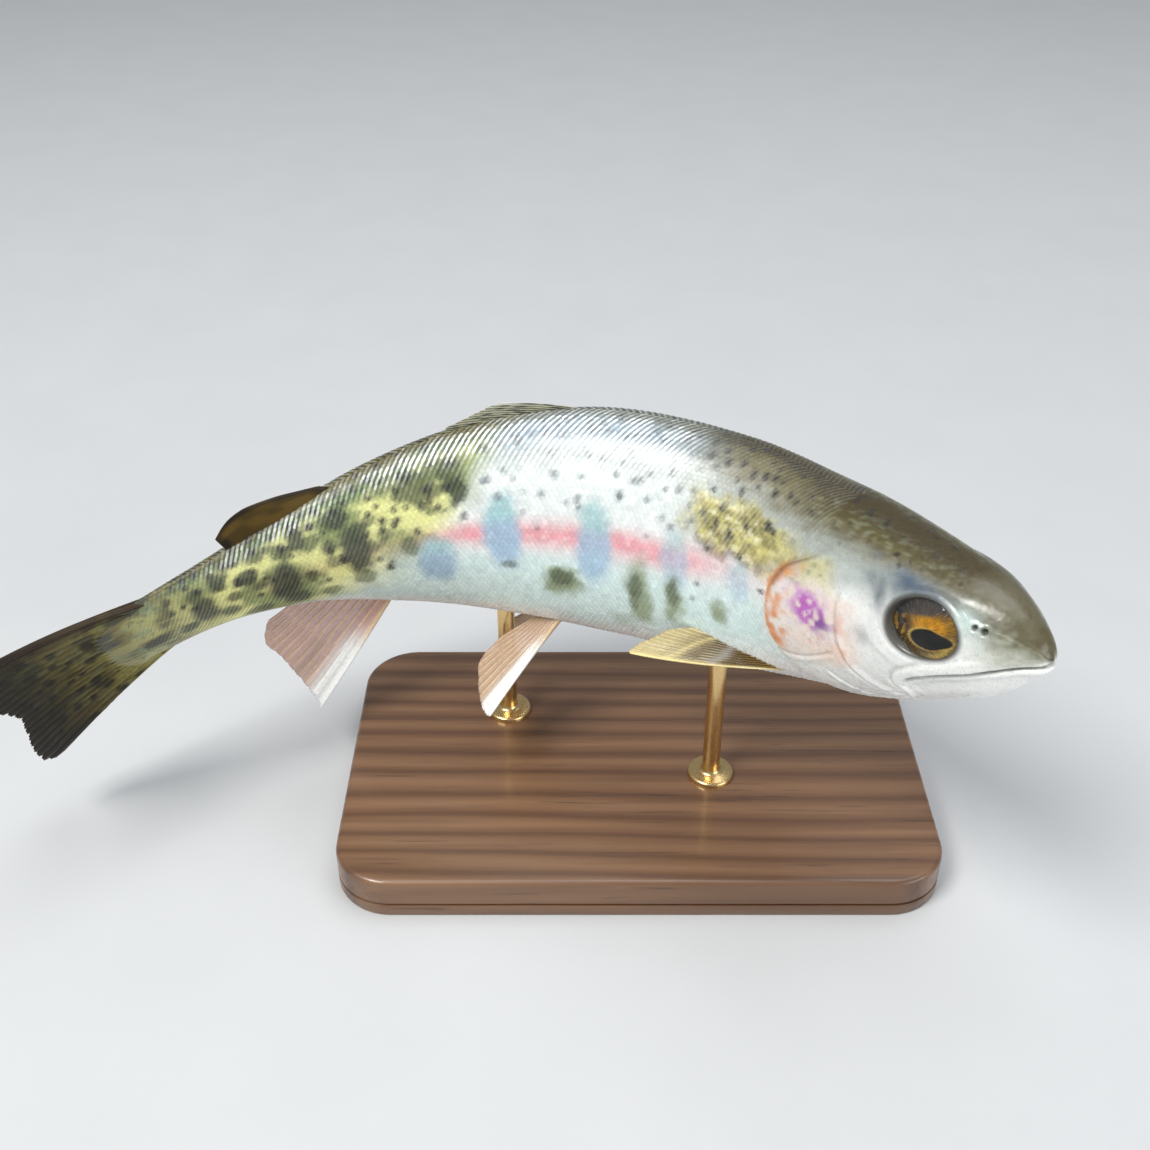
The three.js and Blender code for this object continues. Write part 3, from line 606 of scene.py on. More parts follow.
    # dusky line along the upper rear edge of the gill cover
    edge = bell(x - gill_edge(a) + 0.8, 0.75) * band(56, 82, 7, deg)
    col = to(col, srgb(84, 62, 40), 0.62 * edge)

    silver = band(52, 150, 12, deg) * (1 - 0.75 * mix) * (0.55 + 0.45 * n2)
    silver = silver * (1 - 0.5 * gold) * (1 - 0.4 * head)
    # glint: strength of the painted highlight bars on the scales, strongest on the middle of the back, fading to the
    # tail and weaker on the far side
    glint = step(60, 34, d) * step(0.37, 0.43, s) * step(0.97, 0.86, s) * (0.80 + 0.45 * (n1 - 0.5))
    glint = glint * (1 - 0.85 * mix * step(28, 42, d)) * (1 - 0.45 * step(0.62, 0.75, s)) * (1 - 0.6 * step(0.87, 0.94, s))
    glint = glint * (0.45 + 0.75 * step(0.32, 0.55, n2)) * (0.30 + 0.85 * step(4, 22, deg)) * np.where(left & (deg < 40), 0.6, 1.0)
    glint = glint + 0.10 * gold * step(0.26, 0.3, s) + 0.04
    return np.clip(col, 0, 1), np.clip(silver, 0, 1), np.clip(glint * (0.9 + 0.5 * (n2 - 0.5)), 0, 1)


def head_cover(s, deg):
    return (s * LENGTH < gill_edge(np.radians(deg)) + 0.6).astype(float)


# ------------------------------------------------------------------ mesh helpers
def add_mesh(name, verts, quads=None, tris=None, smooth=True, flat_from=None):
    """A mesh object from frame millimetres."""
    verts = np.ascontiguousarray(verts, dtype=np.float32) * np.float32(MM)
    quads = np.zeros((0, 4), int) if quads is None else np.asarray(quads).reshape(-1, 4)
    tris = np.zeros((0, 3), int) if tris is None else np.asarray(tris).reshape(-1, 3)
    me = bpy.data.meshes.new(name)
    me.vertices.add(len(verts))
    me.vertices.foreach_set("co", verts.ravel())
    loops = np.concatenate([quads.ravel(), tris.ravel()]).astype(np.int32)
    me.loops.add(len(loops))
    me.loops.foreach_set("vertex_index", loops)
    starts = np.concatenate([np.arange(len(quads)) * 4, len(quads) * 4 + np.arange(len(tris)) * 3]).astype(np.int32)
    me.polygons.add(len(starts))
    me.polygons.foreach_set("loop_start", starts)
    me.update(calc_edges=True)
    me.polygons.foreach_set("use_smooth", np.full(len(starts), bool(smooth)))
    me.update()
    ob = bpy.data.objects.new(name, me)
    bpy.context.scene.collection.objects.link(ob)
    return ob


def set_attr(ob, name, values, kind="FLOAT"):
    me = ob.data
    at = me.attributes.new(name, kind, "POINT")
    values = np.asarray(values, dtype=np.float32)
    if kind == "FLOAT_COLOR":
        if values.shape[-1] == 3:
            values = np.concatenate([values, np.ones((len(values), 1), np.float32)], 1)
        at.data.foreach_set("color", np.ascontiguousarray(values).ravel())
    elif kind == "FLOAT_VECTOR":
        at.data.foreach_set("vector", np.ascontiguousarray(values).ravel())
    else:
        at.data.foreach_set("value", values.ravel())


def set_uv(ob, uv, name="UVMap"):
    me = ob.data
    layer = me.uv_layers.new(name=name)
    idx = np.zeros(len(me.loops), np.int32)
    me.loops.foreach_get("vertex_index", idx)
    layer.data.foreach_set("uv", np.ascontiguousarray(np.asarray(uv, np.float32)[idx]).ravel())


def grid_faces(rows, cols, closed=False, flip=False):
    i, j = np.meshgrid(np.arange(rows - 1), np.arange(cols if closed else cols - 1), indexing="ij")
    k = (j + 1) % cols
    q = np.stack([i * cols + j, (i + 1) * cols + j, (i + 1) * cols + k, i * cols + k], -1).reshape(-1, 4)
    return q[:, ::-1] if flip else q


def finish_piece(ob, material, slot, *nodes):
    ob.data.materials.append(material)
    if nodes:
        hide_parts(*nodes)
    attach(ob, "root")
    return ob


# ------------------------------------------------------------------ materials
class Nodes:
    """A short way to wire a material."""

    def __init__(self, name):
        self.mat = bpy.data.materials.new(name)
        self.mat.use_nodes = True
        self.tree = self.mat.node_tree
        self.tree.nodes.clear()
        self.out = self.add("ShaderNodeOutputMaterial")
        self.bsdf = self.add("ShaderNodeBsdfPrincipled")
        self.link(self.bsdf.outputs[0], self.out.inputs[0])

    def add(self, kind, **props):
        n = self.tree.nodes.new(kind)
        for k, v in props.items():
            if k.startswith("in_"):
                n.inputs[k[3:].replace("_", " ")].default_value = v
            else:
                setattr(n, k, v)
        return n

    def link(self, a, b):
        self.tree.links.new(a, b)
        return b

    def feed(self, n, socket, v):
        if hasattr(v, "links") or isinstance(v, bpy.types.NodeSocket):
            self.link(v, n.inputs[socket])
        else:
            n.inputs[socket].default_value = v

    def attr(self, name, out="Fac"):
        return self.add("ShaderNodeAttribute", attribute_name=name).outputs[out]

    def math(self, op, a, b=0.0, c=0.0, clamp=False):
        n = self.add("ShaderNodeMath", operation=op, use_clamp=clamp)
        for i, v in enumerate((a, b, c)):
            self.feed(n, i, v)
        return n.outputs[0]

    def mix(self, fac, a, b, blend="MIX"):
        n = self.add("ShaderNodeMix", data_type="RGBA", blend_type=blend)
        self.feed(n, 0, fac)
        self.feed(n, 6, a)
        self.feed(n, 7, b)
        return n.outputs[2]

    def ramp(self, fac, stops, interp="LINEAR"):
        n = self.add("ShaderNodeValToRGB")
        n.color_ramp.interpolation = interp
        e = n.color_ramp.elements
        while len(e) < len(stops):
            e.new(0.5)
        for k, (p, c) in zip(e, stops):
            k.position, k.color = p, (*c, 1) if len(c) == 3 else c
        self.link(fac, n.inputs[0])
        return n.outputs[0]

    def range(self, v, a, b, c=0.0, d=1.0, smooth=True):
        n = self.add("ShaderNodeMapRange", interpolation_type="SMOOTHSTEP" if smooth else "LINEAR")
        for i, x in enumerate((v, a, b, c, d)):
            self.feed(n, i, x)
        return n.outputs[0]

    def coords(self, scale=1.0, stretch=(1, 1, 1)):
        tc = self.add("ShaderNodeTexCoord")
        mp = self.add("ShaderNodeMapping")
        mp.inputs["Scale"].default_value = [scale * k for k in stretch]
        self.link(tc.outputs["Object"], mp.inputs["Vector"])
        return mp.outputs[0]

    def noise(self, vec, scale, detail=3.0, rough=0.5, distortion=0.0):
        n = self.add("ShaderNodeTexNoise")
        n.inputs["Scale"].default_value = scale
        n.inputs["Detail"].default_value = detail
        n.inputs["Roughness"].default_value = rough
        n.inputs["Distortion"].default_value = distortion
        self.link(vec, n.inputs["Vector"])
        return n.outputs["Fac"]

    def voronoi(self, vec, scale, feature="F1", out="Distance"):
        n = self.add("ShaderNodeTexVoronoi", feature=feature)
        n.inputs["Scale"].default_value = scale
        self.link(vec, n.inputs["Vector"])
        return n.outputs[out]

    def bump(self, height, strength=0.3, distance=0.0002, normal=None):
        n = self.add("ShaderNodeBump")
        n.inputs["Strength"].default_value = strength
        n.inputs["Distance"].default_value = distance
        self.link(height, n.inputs["Height"])
        if normal is not None:
            self.link(normal, n.inputs["Normal"])
        return n.outputs[0]

    def set(self, **kw):
        names = {"base": "Base Color", "rough": "Roughness", "metal": "Metallic", "spec": "Specular IOR Level",
                 "coat": "Coat Weight", "coat_rough": "Coat Roughness", "normal": "Normal", "alpha": "Alpha",
                 "ior": "IOR", "trans": "Transmission Weight", "sheen": "Sheen Weight",
                 "sss": "Subsurface Weight", "sss_r": "Subsurface Radius", "sss_s": "Subsurface Scale"}
        for k, v in kw.items():
            self.feed(self.bsdf, names[k], v)
        return self.mat


def skin_material():
    m = Nodes("trout_skin")
    co = m.coords()
    col = m.attr("paint", "Color")
    speck = m.noise(co, 2600, 3, 0.6)
    fine = m.noise(co, 900, 4, 0.55)
    col = m.mix(m.range(speck, 0.52, 0.72, 0.0, 0.22), col, (0.10, 0.10, 0.07, 1), "MIX")
    col = m.mix(0.5, col, m.ramp(fine, [(0.3, (0.82, 0.82, 0.80)), (0.7, (1, 1, 1))]), "MULTIPLY")
    silver = m.attr("silver")
    m.set(base=col, rough=m.range(fine, 0.3, 0.7, 0.26, 0.42), metal=m.math("MULTIPLY", silver, 0.22),
          spec=0.42, coat=0.34, coat_rough=0.20,
          normal=m.bump(m.math("ADD", m.math("ADD", m.noise(co, 420, 4, 0.6), m.math("MULTIPLY", m.noise(co, 1500, 3, 0.5), 0.5)),
                               m.math("MULTIPLY", m.voronoi(co, 1000), 0.6)), 0.34, 0.00016))
    return m.mat


def scale_material():
    m = Nodes("trout_scales")
    co = m.coords()
    col = m.attr("paint", "Color")
    loc = m.add("ShaderNodeSeparateXYZ")
    m.link(m.attr("local", "Vector"), loc.inputs[0])
    along, across = loc.outputs[0], loc.outputs[1]     # mm on the scale: tailward and downward from its middle
    glint = m.attr("glint")
    silver = m.attr("silver")
    # growth rings and a darker free edge
    rim = m.range(m.attr("edge"), 0.55, 1.0)
    col = m.mix(m.math("MULTIPLY", rim, m.math("MULTIPLY_ADD", glint, 0.08, 0.12)), col, (0.15, 0.16, 0.15, 1))
    # a painted highlight: a bright bar across each scale for the sky's glint on the wet scales, so that the bars of a
    # slanting row join up, with painted shade in the gaps between them
    off = m.math("ABSOLUTE", m.math("SUBTRACT", m.math("MULTIPLY", along, 0.84), m.math("MULTIPLY", across, 0.543)))
    glint_bar = m.math("MULTIPLY", m.range(off, 0.25, 0.15), glint)
    glint_gap_shade = m.math("MULTIPLY", m.range(off, 0.24, 0.40), m.math("MULTIPLY", glint, 0.20))
    col = m.mix(glint_gap_shade, col, (0.07, 0.09, 0.09, 1))
    col = m.mix(m.math("MULTIPLY", glint_bar, 1.0, clamp=True), col, (0.95, 0.97, 0.96, 1))
    fine = m.noise(co, 1400, 3, 0.55)
    rings = m.add("ShaderNodeTexWave", wave_type="BANDS", bands_direction="X")
    rings.inputs["Scale"].default_value = 2.4
    rings.inputs["Distortion"].default_value = 1.2
    m.link(m.attr("local", "Vector"), rings.inputs["Vector"])
    metal = m.math("MULTIPLY", m.math("MAXIMUM", silver, m.math("MULTIPLY", glint_bar, 0.5)), 0.22)
    m.set(base=col, rough=m.range(fine, 0.3, 0.7, 0.26, 0.42), metal=metal, spec=0.42, coat=0.32, coat_rough=0.18,
          normal=m.bump(m.math("ADD", fine, m.math("MULTIPLY", rings.outputs["Fac"], 0.35)), 0.22, 0.00008))
    return m.mat


def fin_material(name, rough=0.34, coat=0.30, spec=0.4):
    m = Nodes(name)
    co = m.coords()
    col = m.attr("paint", "Color")
    fine = m.noise(co, 1700, 3, 0.6)
    col = m.mix(0.6, col, m.ramp(fine, [(0.28, (0.70, 0.68, 0.60)), (0.7, (1, 1, 1))]), "MULTIPLY")
    m.set(base=col, rough=m.range(fine, 0.3, 0.7, rough - 0.08, rough + 0.10), spec=spec, coat=coat, coat_rough=0.16,
          alpha=m.attr("body"), normal=m.bump(fine, 0.2, 0.00008))
    return m.mat


# ------------------------------------------------------------------ the skin
EYE_AT, EYE_A, EYE_B = (15.65, 2.55), 5.75, 4.55          # centre (s, z) and half axes of the eye's opening


def near_curve(points, x, z):
    """Signed distance from a curve through (s, z) points (plus is below it when it
    runs tailward) and how far along it, 0 to 1, is the nearest place."""
    p = np.array(points, float)
    t = np.concatenate([[0], np.cumsum(np.hypot(*np.diff(p, axis=0).T))])
    tt = np.linspace(0, t[-1], 90)
    c = np.stack([pchip(t, p[:, 0])(tt), pchip(t, p[:, 1])(tt)], -1)
    tang = np.gradient(c, axis=0)
    best = np.full(x.shape, 1e9)
    sign = np.ones(x.shape)
    where = np.zeros(x.shape)
    for k in range(len(c)):
        dx, dz = x - c[k, 0], z - c[k, 1]
        d = dx * dx + dz * dz
        m = d < best
        best[m] = d[m]
        cross = tang[k, 0] * dz - tang[k, 1] * dx
        sign[m] = np.where(cross[m] > 0, -1, 1)
        where[m] = k / (len(c) - 1)
    return np.sqrt(best) * sign, where


MOUTH = [(-0.6, -1.1), (1, -1.1), (6, -2.1), (12, -3.8), (18.5, -6.2), (20.8, -7.5)]
MAXILLA_TOP = [(2.2, 0.3), (6, -0.1), (10, -1.0), (14.5, -2.5), (18.5, -4.3), (21.6, -6.2), (22.6, -8.0), (21.9, -9.6)]
PREOPERCLE = [(28.2, 6.5), (30.0, 2.5), (30.8, -2.0), (30.2, -6.0), (27.6, -9.6), (23.4, -12.0), (19.0, -13.2)]
SUBOPERCLE = [(32.5, -5.6), (36.5, -7.4), (41.0, -8.7), (45.5, -9.0)]
INTEROPERCLE = [(25.0, -13.4), (29.0, -13.1), (33.0, -11.6), (35.5, -9.4)]
BROW = [(5.5, 5.2), (9.5, 7.3), (15.5, 8.5), (21.5, 8.2), (27, 6.7)]


def relief(x, z, a):
    """Height in mm of the head's bones and folds over the plain form, and the painted shade in its grooves, openings
    and round the eye."""
    h = np.zeros_like(x)
    dark = np.zeros_like(x)
    # eye opening with a soft raised rim
    r = np.hypot((x - EYE_AT[0]) / EYE_A, (z - EYE_AT[1]) / EYE_B)
    h -= 2.1 * step(1.02, 0.86, r) + 0.22 * bell(r - 1.10, 0.10)
    h += 0.14 * bell(r - 1.33, 0.15)
    # painted shade in the crevice round the eye's opening
    dark += 0.92 * step(1.10, 1.02, r)
    # mouth: lips, maxilla and the inset edge of the lower jaw
    d, t = near_curve(MOUTH, x, z)
    open_to = step(1.0, 0.93, t)
    lip = bell(d - 0.75, 0.55) * 0.20 * open_to
    h += -1.15 * bell(d, 0.26) * open_to - 0.30 * step(0.0, 0.5, d) * step(3.6, 1.2, d) * open_to * step(0.06, 0.2, t) + lip
    # painted shade along the mouth's cleft
    dark += 0.75 * bell(d, 0.24) * open_to
    dm, tm = near_curve(MAXILLA_TOP, x, z)
    plate = step(-0.30, 0.45, dm) * step(4.3, 2.6, dm) * step(0.06, 0.34, tm)
    above_mouth = step(0.35, -0.15, d) + step(18.5, 20.5, x) * step(0.9, 0.3, np.abs(dm - 1.0))
    h += 0.42 * plate * np.clip(above_mouth, 0, 1) - 0.20 * bell(dm + 0.30, 0.34) * step(0.16, 0.42, tm)
    dark += 0.22 * bell(dm + 0.25, 0.25) * step(0.16, 0.42, tm)
    # nostrils: a front and a rear opening with a flap between
    for ns, nz, nr in ((6.5, 3.9, 0.50), (7.75, 4.35, 0.42)):
        q = np.hypot(x - ns, (z - nz) * 0.85)
        h += -0.75 * step(nr, nr * 0.45, q) + 0.16 * bell(q - nr * 1.35, 0.22)
        # painted shade in the nostril openings
        dark += 0.8 * step(nr * 1.05, nr * 0.6, q)
    # gill-cover bones
    dp, tp = near_curve(PREOPERCLE, x, z)
    fade = step(0.0, 0.12, tp) * step(1.0, 0.85, tp)
    h += fade * (0.24 * bell(dp - 0.35, 0.75) - 0.26 * bell(dp + 0.55, 0.34))
    dark += 0.14 * fade * bell(dp + 0.55, 0.34)
    for curve, k in ((SUBOPERCLE, 0.20), (INTEROPERCLE, 0.18)):
        dd, tt = near_curve(curve, x, z)
        ends = step(0, 0.1, tt) * step(1, 0.9, tt)
        h += ends * (-k * bell(dd, 0.26) + 0.5 * k * bell(dd - 0.6, 0.5))
        dark += 0.12 * ends * bell(dd, 0.26)
    # the bony brow over the eye and the cheek below it
    db, tb = near_curve(BROW, x, z)
    h += 0.22 * bell(db, 0.9) * step(0, 0.2, tb) * step(1, 0.7, tb)
    h += 0.14 * bell(r - 1.62, 0.17) * step(2.5, -1.5, z) * step(30, 26, x)
    # branchiostegal rays and the fold between the jaws, under the throat
    deg = np.degrees(np.where(a > np.pi, 2 * np.pi - a, a))
    under = step(134, 146, deg) * step(19, 25, x)
    fan = deg + 0.9 * (x - 28)
    h += under * 0.13 * np.cos(fan / 5.2 * 2 * np.pi) * step(176, 170, deg)
    # painted shade in the troughs between the branchiostegal rays
    dark += 0.10 * under * (0.5 - 0.5 * np.cos(fan / 5.2 * 2 * np.pi))
    h -= 0.42 * bell(deg - 180, 3.2) * step(2.0, 6.0, x) * step(30, 24, x)
    # free edges of the gill membranes running forward under the throat
    slit = deg - lerp(150, 176, np.clip((36 - x) / 15, 0, 1))
    h -= 0.5 * bell(slit, 1.7) * step(20, 24, x) * step(37, 35, x)
    # painted shade along the free edges of the gill membranes
    dark += 0.30 * bell(slit, 1.5) * step(20, 24, x) * step(37, 35, x)
    return h, np.clip(dark, 0, 1)


def build_skin():
    # columns: finer at the mouth line and round the eye
    xs = np.linspace(0, 180, 1801)
    dens = 1 + 1.6 * bell(xs - 112, 8) + 1.0 * bell(xs - 76, 30)
    cum = np.concatenate([[0], np.cumsum((dens[1:] + dens[:-1]) / 2)])
    half = 132
    up = np.interp(np.linspace(0, cum[-1], half + 1), cum, xs)
    cols = np.radians(np.concatenate([up, (360 - up[1:-1])[::-1]]))
    nc = len(cols)
    mirrored = cols > np.pi + 1e-9
    fold = np.where(mirrored, 2 * np.pi - cols, cols)
    gill = gill_edge(cols)
    flap = open_slit(fold)

    # rows as (s in mm, height, is inside the gill slit)
    rows = []
    nh = 220
    xs = np.linspace(0, 1, 801)
    dens = 0.55 + 2.4 * bell(xs - 0.02, 0.05) + 0.95 * bell(xs - 0.39, 0.17)
    cum = np.concatenate([[0], np.cumsum((dens[1:] + dens[:-1]) / 2)])
    marks = np.interp(np.arange(nh) / nh * cum[-1], cum, xs)
    for f in marks:
        x = f * (gill - 0.3)
        bulge = 0.34 * step(-13, -0.4, x - gill) * flap
        rows.append((x, bulge - (1 - flap) * skin_depth(x, fold), 0 * gill, True))
    turned = [(-0.25, 0.34), (-0.10, 0.31), (0.0, 0.22), (0.0, 0.10), (-0.12, 0.0), (-0.6, -0.06), (-1.3, -0.14), (-1.6, -0.36),
              (-1.3, -0.58), (-0.5, -0.60), (0.3, -0.56), (1.2, -0.46), (2.2, -0.36)]
    flat = np.linspace(-0.25, 2.6, len(turned))
    for k, (dx, h) in enumerate(turned):
        x = gill + lerp(flat[k], dx, flap)
        hh = lerp(-skin_depth(gill + flat[k], fold), h, flap)
        inside = float(3 <= k <= 9) * flap
        rows.append((x, hh, inside, False))
    nb = 120
    start = gill + lerp(2.6, 2.2, flap)
    for k in range(1, nb + 1):
        f = (k / nb) ** 1.1
        x = lerp(start, 1.0 * LENGTH, f)
        rows.append((x, -skin_depth(x, fold), 0 * gill, False))
    X = np.array([r[0] for r in rows])
    H = np.array([r[1] + 0 * gill for r in rows])
    INSIDE = np.array([r[2] + 0 * gill for r in rows])
    is_head = np.array([r[3] for r in rows])
    A = np.tile(cols, (len(rows), 1))
    # bend the columns so that one of them follows the mouth line
    zz = pchip([p[0] for p in MOUTH], [p[1] for p in MOUTH])(np.clip(X, 0, 21))
    sN = np.clip(X / LENGTH, 0, 1)
    wide, bel, e = form(4, sN) * LENGTH, form(2, sN) * LENGTH, 2 / form(6, sN)
    ratio = np.clip((wide - zz) / np.maximum(wide - bel, 1e-3), 0, 0.98)
    a_m = np.degrees(np.pi - np.arccos(ratio ** (1 / e)))
    shift = (a_m - 112) * bell(np.degrees(np.tile(fold, (len(rows), 1))) - 112, 34) * step(30, 20, X)
    A = A + np.radians(shift) * np.where(mirrored, -1, 1)
    S = X / LENGTH
    fx, fy, fz = skin(S, A)
    dark = np.zeros_like(X)
    hr, groove_shade = relief(fx[is_head], fz[is_head], A[is_head])
    H[is_head] += hr
    dark[is_head] = groove_shade
    V = placed(S, A, H)

    # round the snout and the end of the tail
    tip = flex(np.array([-0.55]), np.array([0.0]), np.array([-0.2]))[0]
    end_rows = []
    end_tones = []
    for dx, k, kz in ((0.9, 0.86, 0.99), (1.9, 0.74, 0.97), (3.0, 0.62, 0.93), (4.2, 0.47, 0.86), (5.3, 0.32, 0.75), (6.1, 0.19, 0.60)):
        xx, yy, z2 = skin(np.ones(nc), cols)
        ridge = 1 + 0.10 * k * np.cos(z2 * kz * 5.2)
        end_rows.append(flex(xx + dx, yy * k * ridge, z2 * kz))
        end_tones.append(tail_tone(xx + dx, z2 * kz))
    endp = flex(np.array([LENGTH + 6.6]), np.array([0.0]), np.array([0.0]))[0]
    allv = np.concatenate([V.reshape(-1, 3), np.concatenate(end_rows), tip[None], endp[None]])
    nr = len(rows) + len(end_rows)
    quads = grid_faces(nr, nc, closed=True)
    j = np.arange(nc)
    ti, ei = nr * nc, nr * nc + 1
    tris = np.concatenate([np.stack([np.full(nc, ti), j, (j + 1) % nc], -1),
                           np.stack([np.full(nc, ei), (nr - 1) * nc + (j + 1) % nc, (nr - 1) * nc + j], -1)])
    ob = add_mesh("trout_skin", allv, quads, tris)

    Af = np.where(A > np.pi, 2 * np.pi - A, A)
    Af = np.abs(Af)
    left = np.tile(mirrored, (len(rows), 1))
    col, silver, _ = paint(S, Af, left)
    # painted shade in the head's grooves, mouth, nostrils and round the eye
    groove_shade = dark.ravel()[:, None]
    col = col * (1 - groove_shade) + srgb(52, 44, 34) * groove_shade
    ins = INSIDE.ravel()[:, None]
    col = col * (1 - 0.85 * ins) + srgb(96, 44, 36) * 0.85 * ins
    silver = silver * (1 - dark.ravel()) * (1 - INSIDE.ravel())
    last = col.reshape(len(rows), nc, 3)[-1]
    col = np.concatenate([col, *end_tones, col[:1], last[:1]])
    silver = np.concatenate([silver, np.zeros(len(end_rows) * nc + 2)])
    set_attr(ob, "paint", col, "FLOAT_COLOR")
    set_attr(ob, "silver", silver)
    u = np.concatenate([np.repeat(np.arange(nr) / nr, nc), [0, 1]])
    set_uv(ob, np.stack([0.01 + 0.97 * u, np.concatenate([np.tile(np.arange(nc) / nc, nr), [0.5, 0.5]]) * 0.98 + 0.01], -1))
    finish_piece(ob, skin_material(), "skin", "head", "lower_jaw", "trunk_front", "trunk_middle", "trunk_rear", "tail_peduncle")
    return ob


build_skin()


# ------------------------------------------------------------------ the scales
def row_step(s):
    """Distance between scale rows in mm."""
    return 0.86 - 0.16 * step(0.62, 0.95, s) - 0.10 * step(0.34, 0.22, s)


def build_scales():
    """Overlapping plates in rows along the side; every second row sits half a scale
    further back, so they also line up on the slant."""
    # columns of roots along the body
    pitch = pchip([0.15, 0.30, 0.45, 0.62, 0.80, 1.0], [0.92, 1.06, 1.14, 1.12, 0.98, 0.80])
    xs = [0.155 * LENGTH]
    while xs[-1] < 0.998 * LENGTH:
        xs.append(xs[-1] + float(pitch(xs[-1] / LENGTH)))
    xs = np.array(xs)
    roots = []
    for side in (1, -1):
        for k in range(-42, 43):
            x = xs + (0.5 if k % 2 else 0.0) * pitch(xs / LENGTH)
            s = x / LENGTH
            w = k * row_step(s)
            top, low = -side_line(np.minimum(s, 1)), girth(np.minimum(s, 1)) - side_line(np.minimum(s, 1))
            ok = (w > top + 0.05) & (w < low - 0.05)
            a = angle_at(np.minimum(s, 1), w)
            # bare head in front of the gill cover and of the nape
            ok &= x > gill_near(a) - 0.9 + 0.5 * (a < 0.9)
            ok &= s < 0.986 + 0.012 * np.sqrt(np.clip(1 - (w / 8.0) ** 2, 0, 1))
            for xx, ww, keep in zip(x, w, ok):
                if keep:
                    roots.append((xx, ww, side, k))
    roots = np.array(roots)
    n = len(roots)
    rng = np.random.default_rng(17)
    x0, w0, side, row = roots.T
    s0 = x0 / LENGTH
    wobble = rng.normal(0, 1, (n, 4))
    x0 = x0 + wobble[:, 0] * 0.035
    w0 = w0 + wobble[:, 1] * 0.025
    size = 1 + 0.03 * wobble[:, 2]
    # the front scales of the nape and the belly are smaller and lie deeper
    a00 = angle_at(np.minimum(s0, 1), w0)
    nape = step(14, 0, x0 - gill_near(a00)) * (1 - open_slit(a00))
    small = 1 - 0.14 * step(0.30, 0.22, s0) - 0.16 * nape - 0.16 * step(0.94, 1.0, s0)
    long_ = 2.15 * pitch(s0) / 1.14 * size * small
    wide = row_step(s0) * 1.02 * size * (0.9 + 0.1 * small)

    # one scale: 3 rows by 5 columns on top, a rim, and a closed underside
    us, vs = np.array([0.0, 0.52, 1.0]), np.array([-1.0, -0.58, 0.0, 0.58, 1.0])
    U, Vv = np.meshgrid(us, vs, indexing="ij")
    P = U * (1 - 0.46 * np.abs(Vv) ** 2.2)
    Q = Vv * (0.74 + 0.26 * np.sin(np.pi * np.clip(U, 0, 1) * 0.75 + 0.35))
    P, Q, U = P.ravel(), Q.ravel(), U.ravel()
    top = list(range(15))
    ring = [0, 1, 2, 3, 4, 9, 14, 13, 12, 11, 10, 5]
    Pl = np.concatenate([P, P[ring], P[ring]])
    Ql = np.concatenate([Q, Q[ring], Q[ring]])
    Ul = np.concatenate([U, U[ring], U[ring]])
    lay = np.concatenate([np.zeros(15), np.zeros(12), np.ones(12)])   # 1 is the underside
    m = len(Pl)
    dx = (Pl[None, :] - 0.62) * long_[:, None]
    dw = Ql[None, :] * wide[:, None]
    X = x0[:, None] + dx
    W = w0[:, None] + dw
    tilt = wobble[:, 3:4] * 0.012
    k0 = coat_height(x0, a00)[:, None]
    rise = 0.31 * np.clip(Pl, 0, 1)[None, :] ** 0.85 - 0.075 * Ql[None, :] ** 2 * (0.4 + 0.6 * Pl[None, :]) + tilt * Ql[None, :]
    rise = rise + 0.05 * bell(Ql, 0.35)[None, :] * (row[:, None] == 0) * Pl[None, :]       # the pored row
    rise = (rise - 0.02) * k0 - (0.10 - 0.045 * (1 - k0)) * lay[None, :]
    S = X / LENGTH
    A = angle_at(np.minimum(S, 1.0), W)
    sign = np.where(side > 0, 1, -1)[:, None]
    rise = rise - skin_depth(X, A) + 0.02 * (1 - k0)
    xs_, ys_, zs_ = skin(np.minimum(S, 1.0), A)
    nn = skin_normal(np.clip(S, 0, 0.999), A)
    taper = step(0.995, 1.04, S)
    ys_ = ys_ * (1 - 0.55 * taper)
    V = flex(X + nn[..., 0] * rise, (ys_ + nn[..., 1] * rise) * sign, zs_ + nn[..., 2] * rise)

    # colours at the scale's own vertices, on the folded angle
    Af = np.abs(A)
    Af = np.where(Af > np.pi, 2 * np.pi - Af, Af)
    crossed = (A < 0) | (A > np.pi)
    left = (side[:, None] < 0) ^ crossed
    # a whole scale takes most of its colour from the middle of what shows of it
    mid_s = np.clip((x0 + 0.12 * long_) / LENGTH, 0, 1)
    mid_a = np.clip(angle_at(mid_s, w0), 0, np.pi)
    cm, sm, gm = paint(mid_s, mid_a, side < 0)
    cv, sv, _ = paint(np.clip(S, 0, 1).ravel(), Af.ravel(), left.ravel())
    tone = 1 + 0.045 * rng.normal(0, 1, n)
    col = (0.25 * cm[:, None, :] + 0.75 * cv.reshape(n, m, 3)) * tone[:, None, None]
    k1 = step(0.945, 0.992, S + 0.006 * wobble[:, 2:3])[..., None]
    # painted a little darker: shade that offsets the stronger light the raised scales catch, so they meet the fin
    base_tone = tail_tone(X, zs_) * 0.90
    col = col * (1 - k1) + base_tone * k1
    silver = np.repeat(sm[:, None], m, 1) * (0.85 + 0.3 * rng.uniform(0, 1, n))[:, None] * (1 - k1[..., 0])
    glint = np.repeat(gm[:, None], m, 1) * (0.35 + 0.95 * rng.uniform(0, 1, n) ** 0.7)[:, None] * (1 - k1[..., 0])
    local = np.stack([dx + 0 * dw - 0.11 * long_[:, None], dw, np.zeros_like(dw)], -1)
    edge = np.repeat(np.clip(np.maximum(Ul * 1.0, 0.9 * np.abs(Ql) * Ul), 0, 1)[None, :], n, 0)

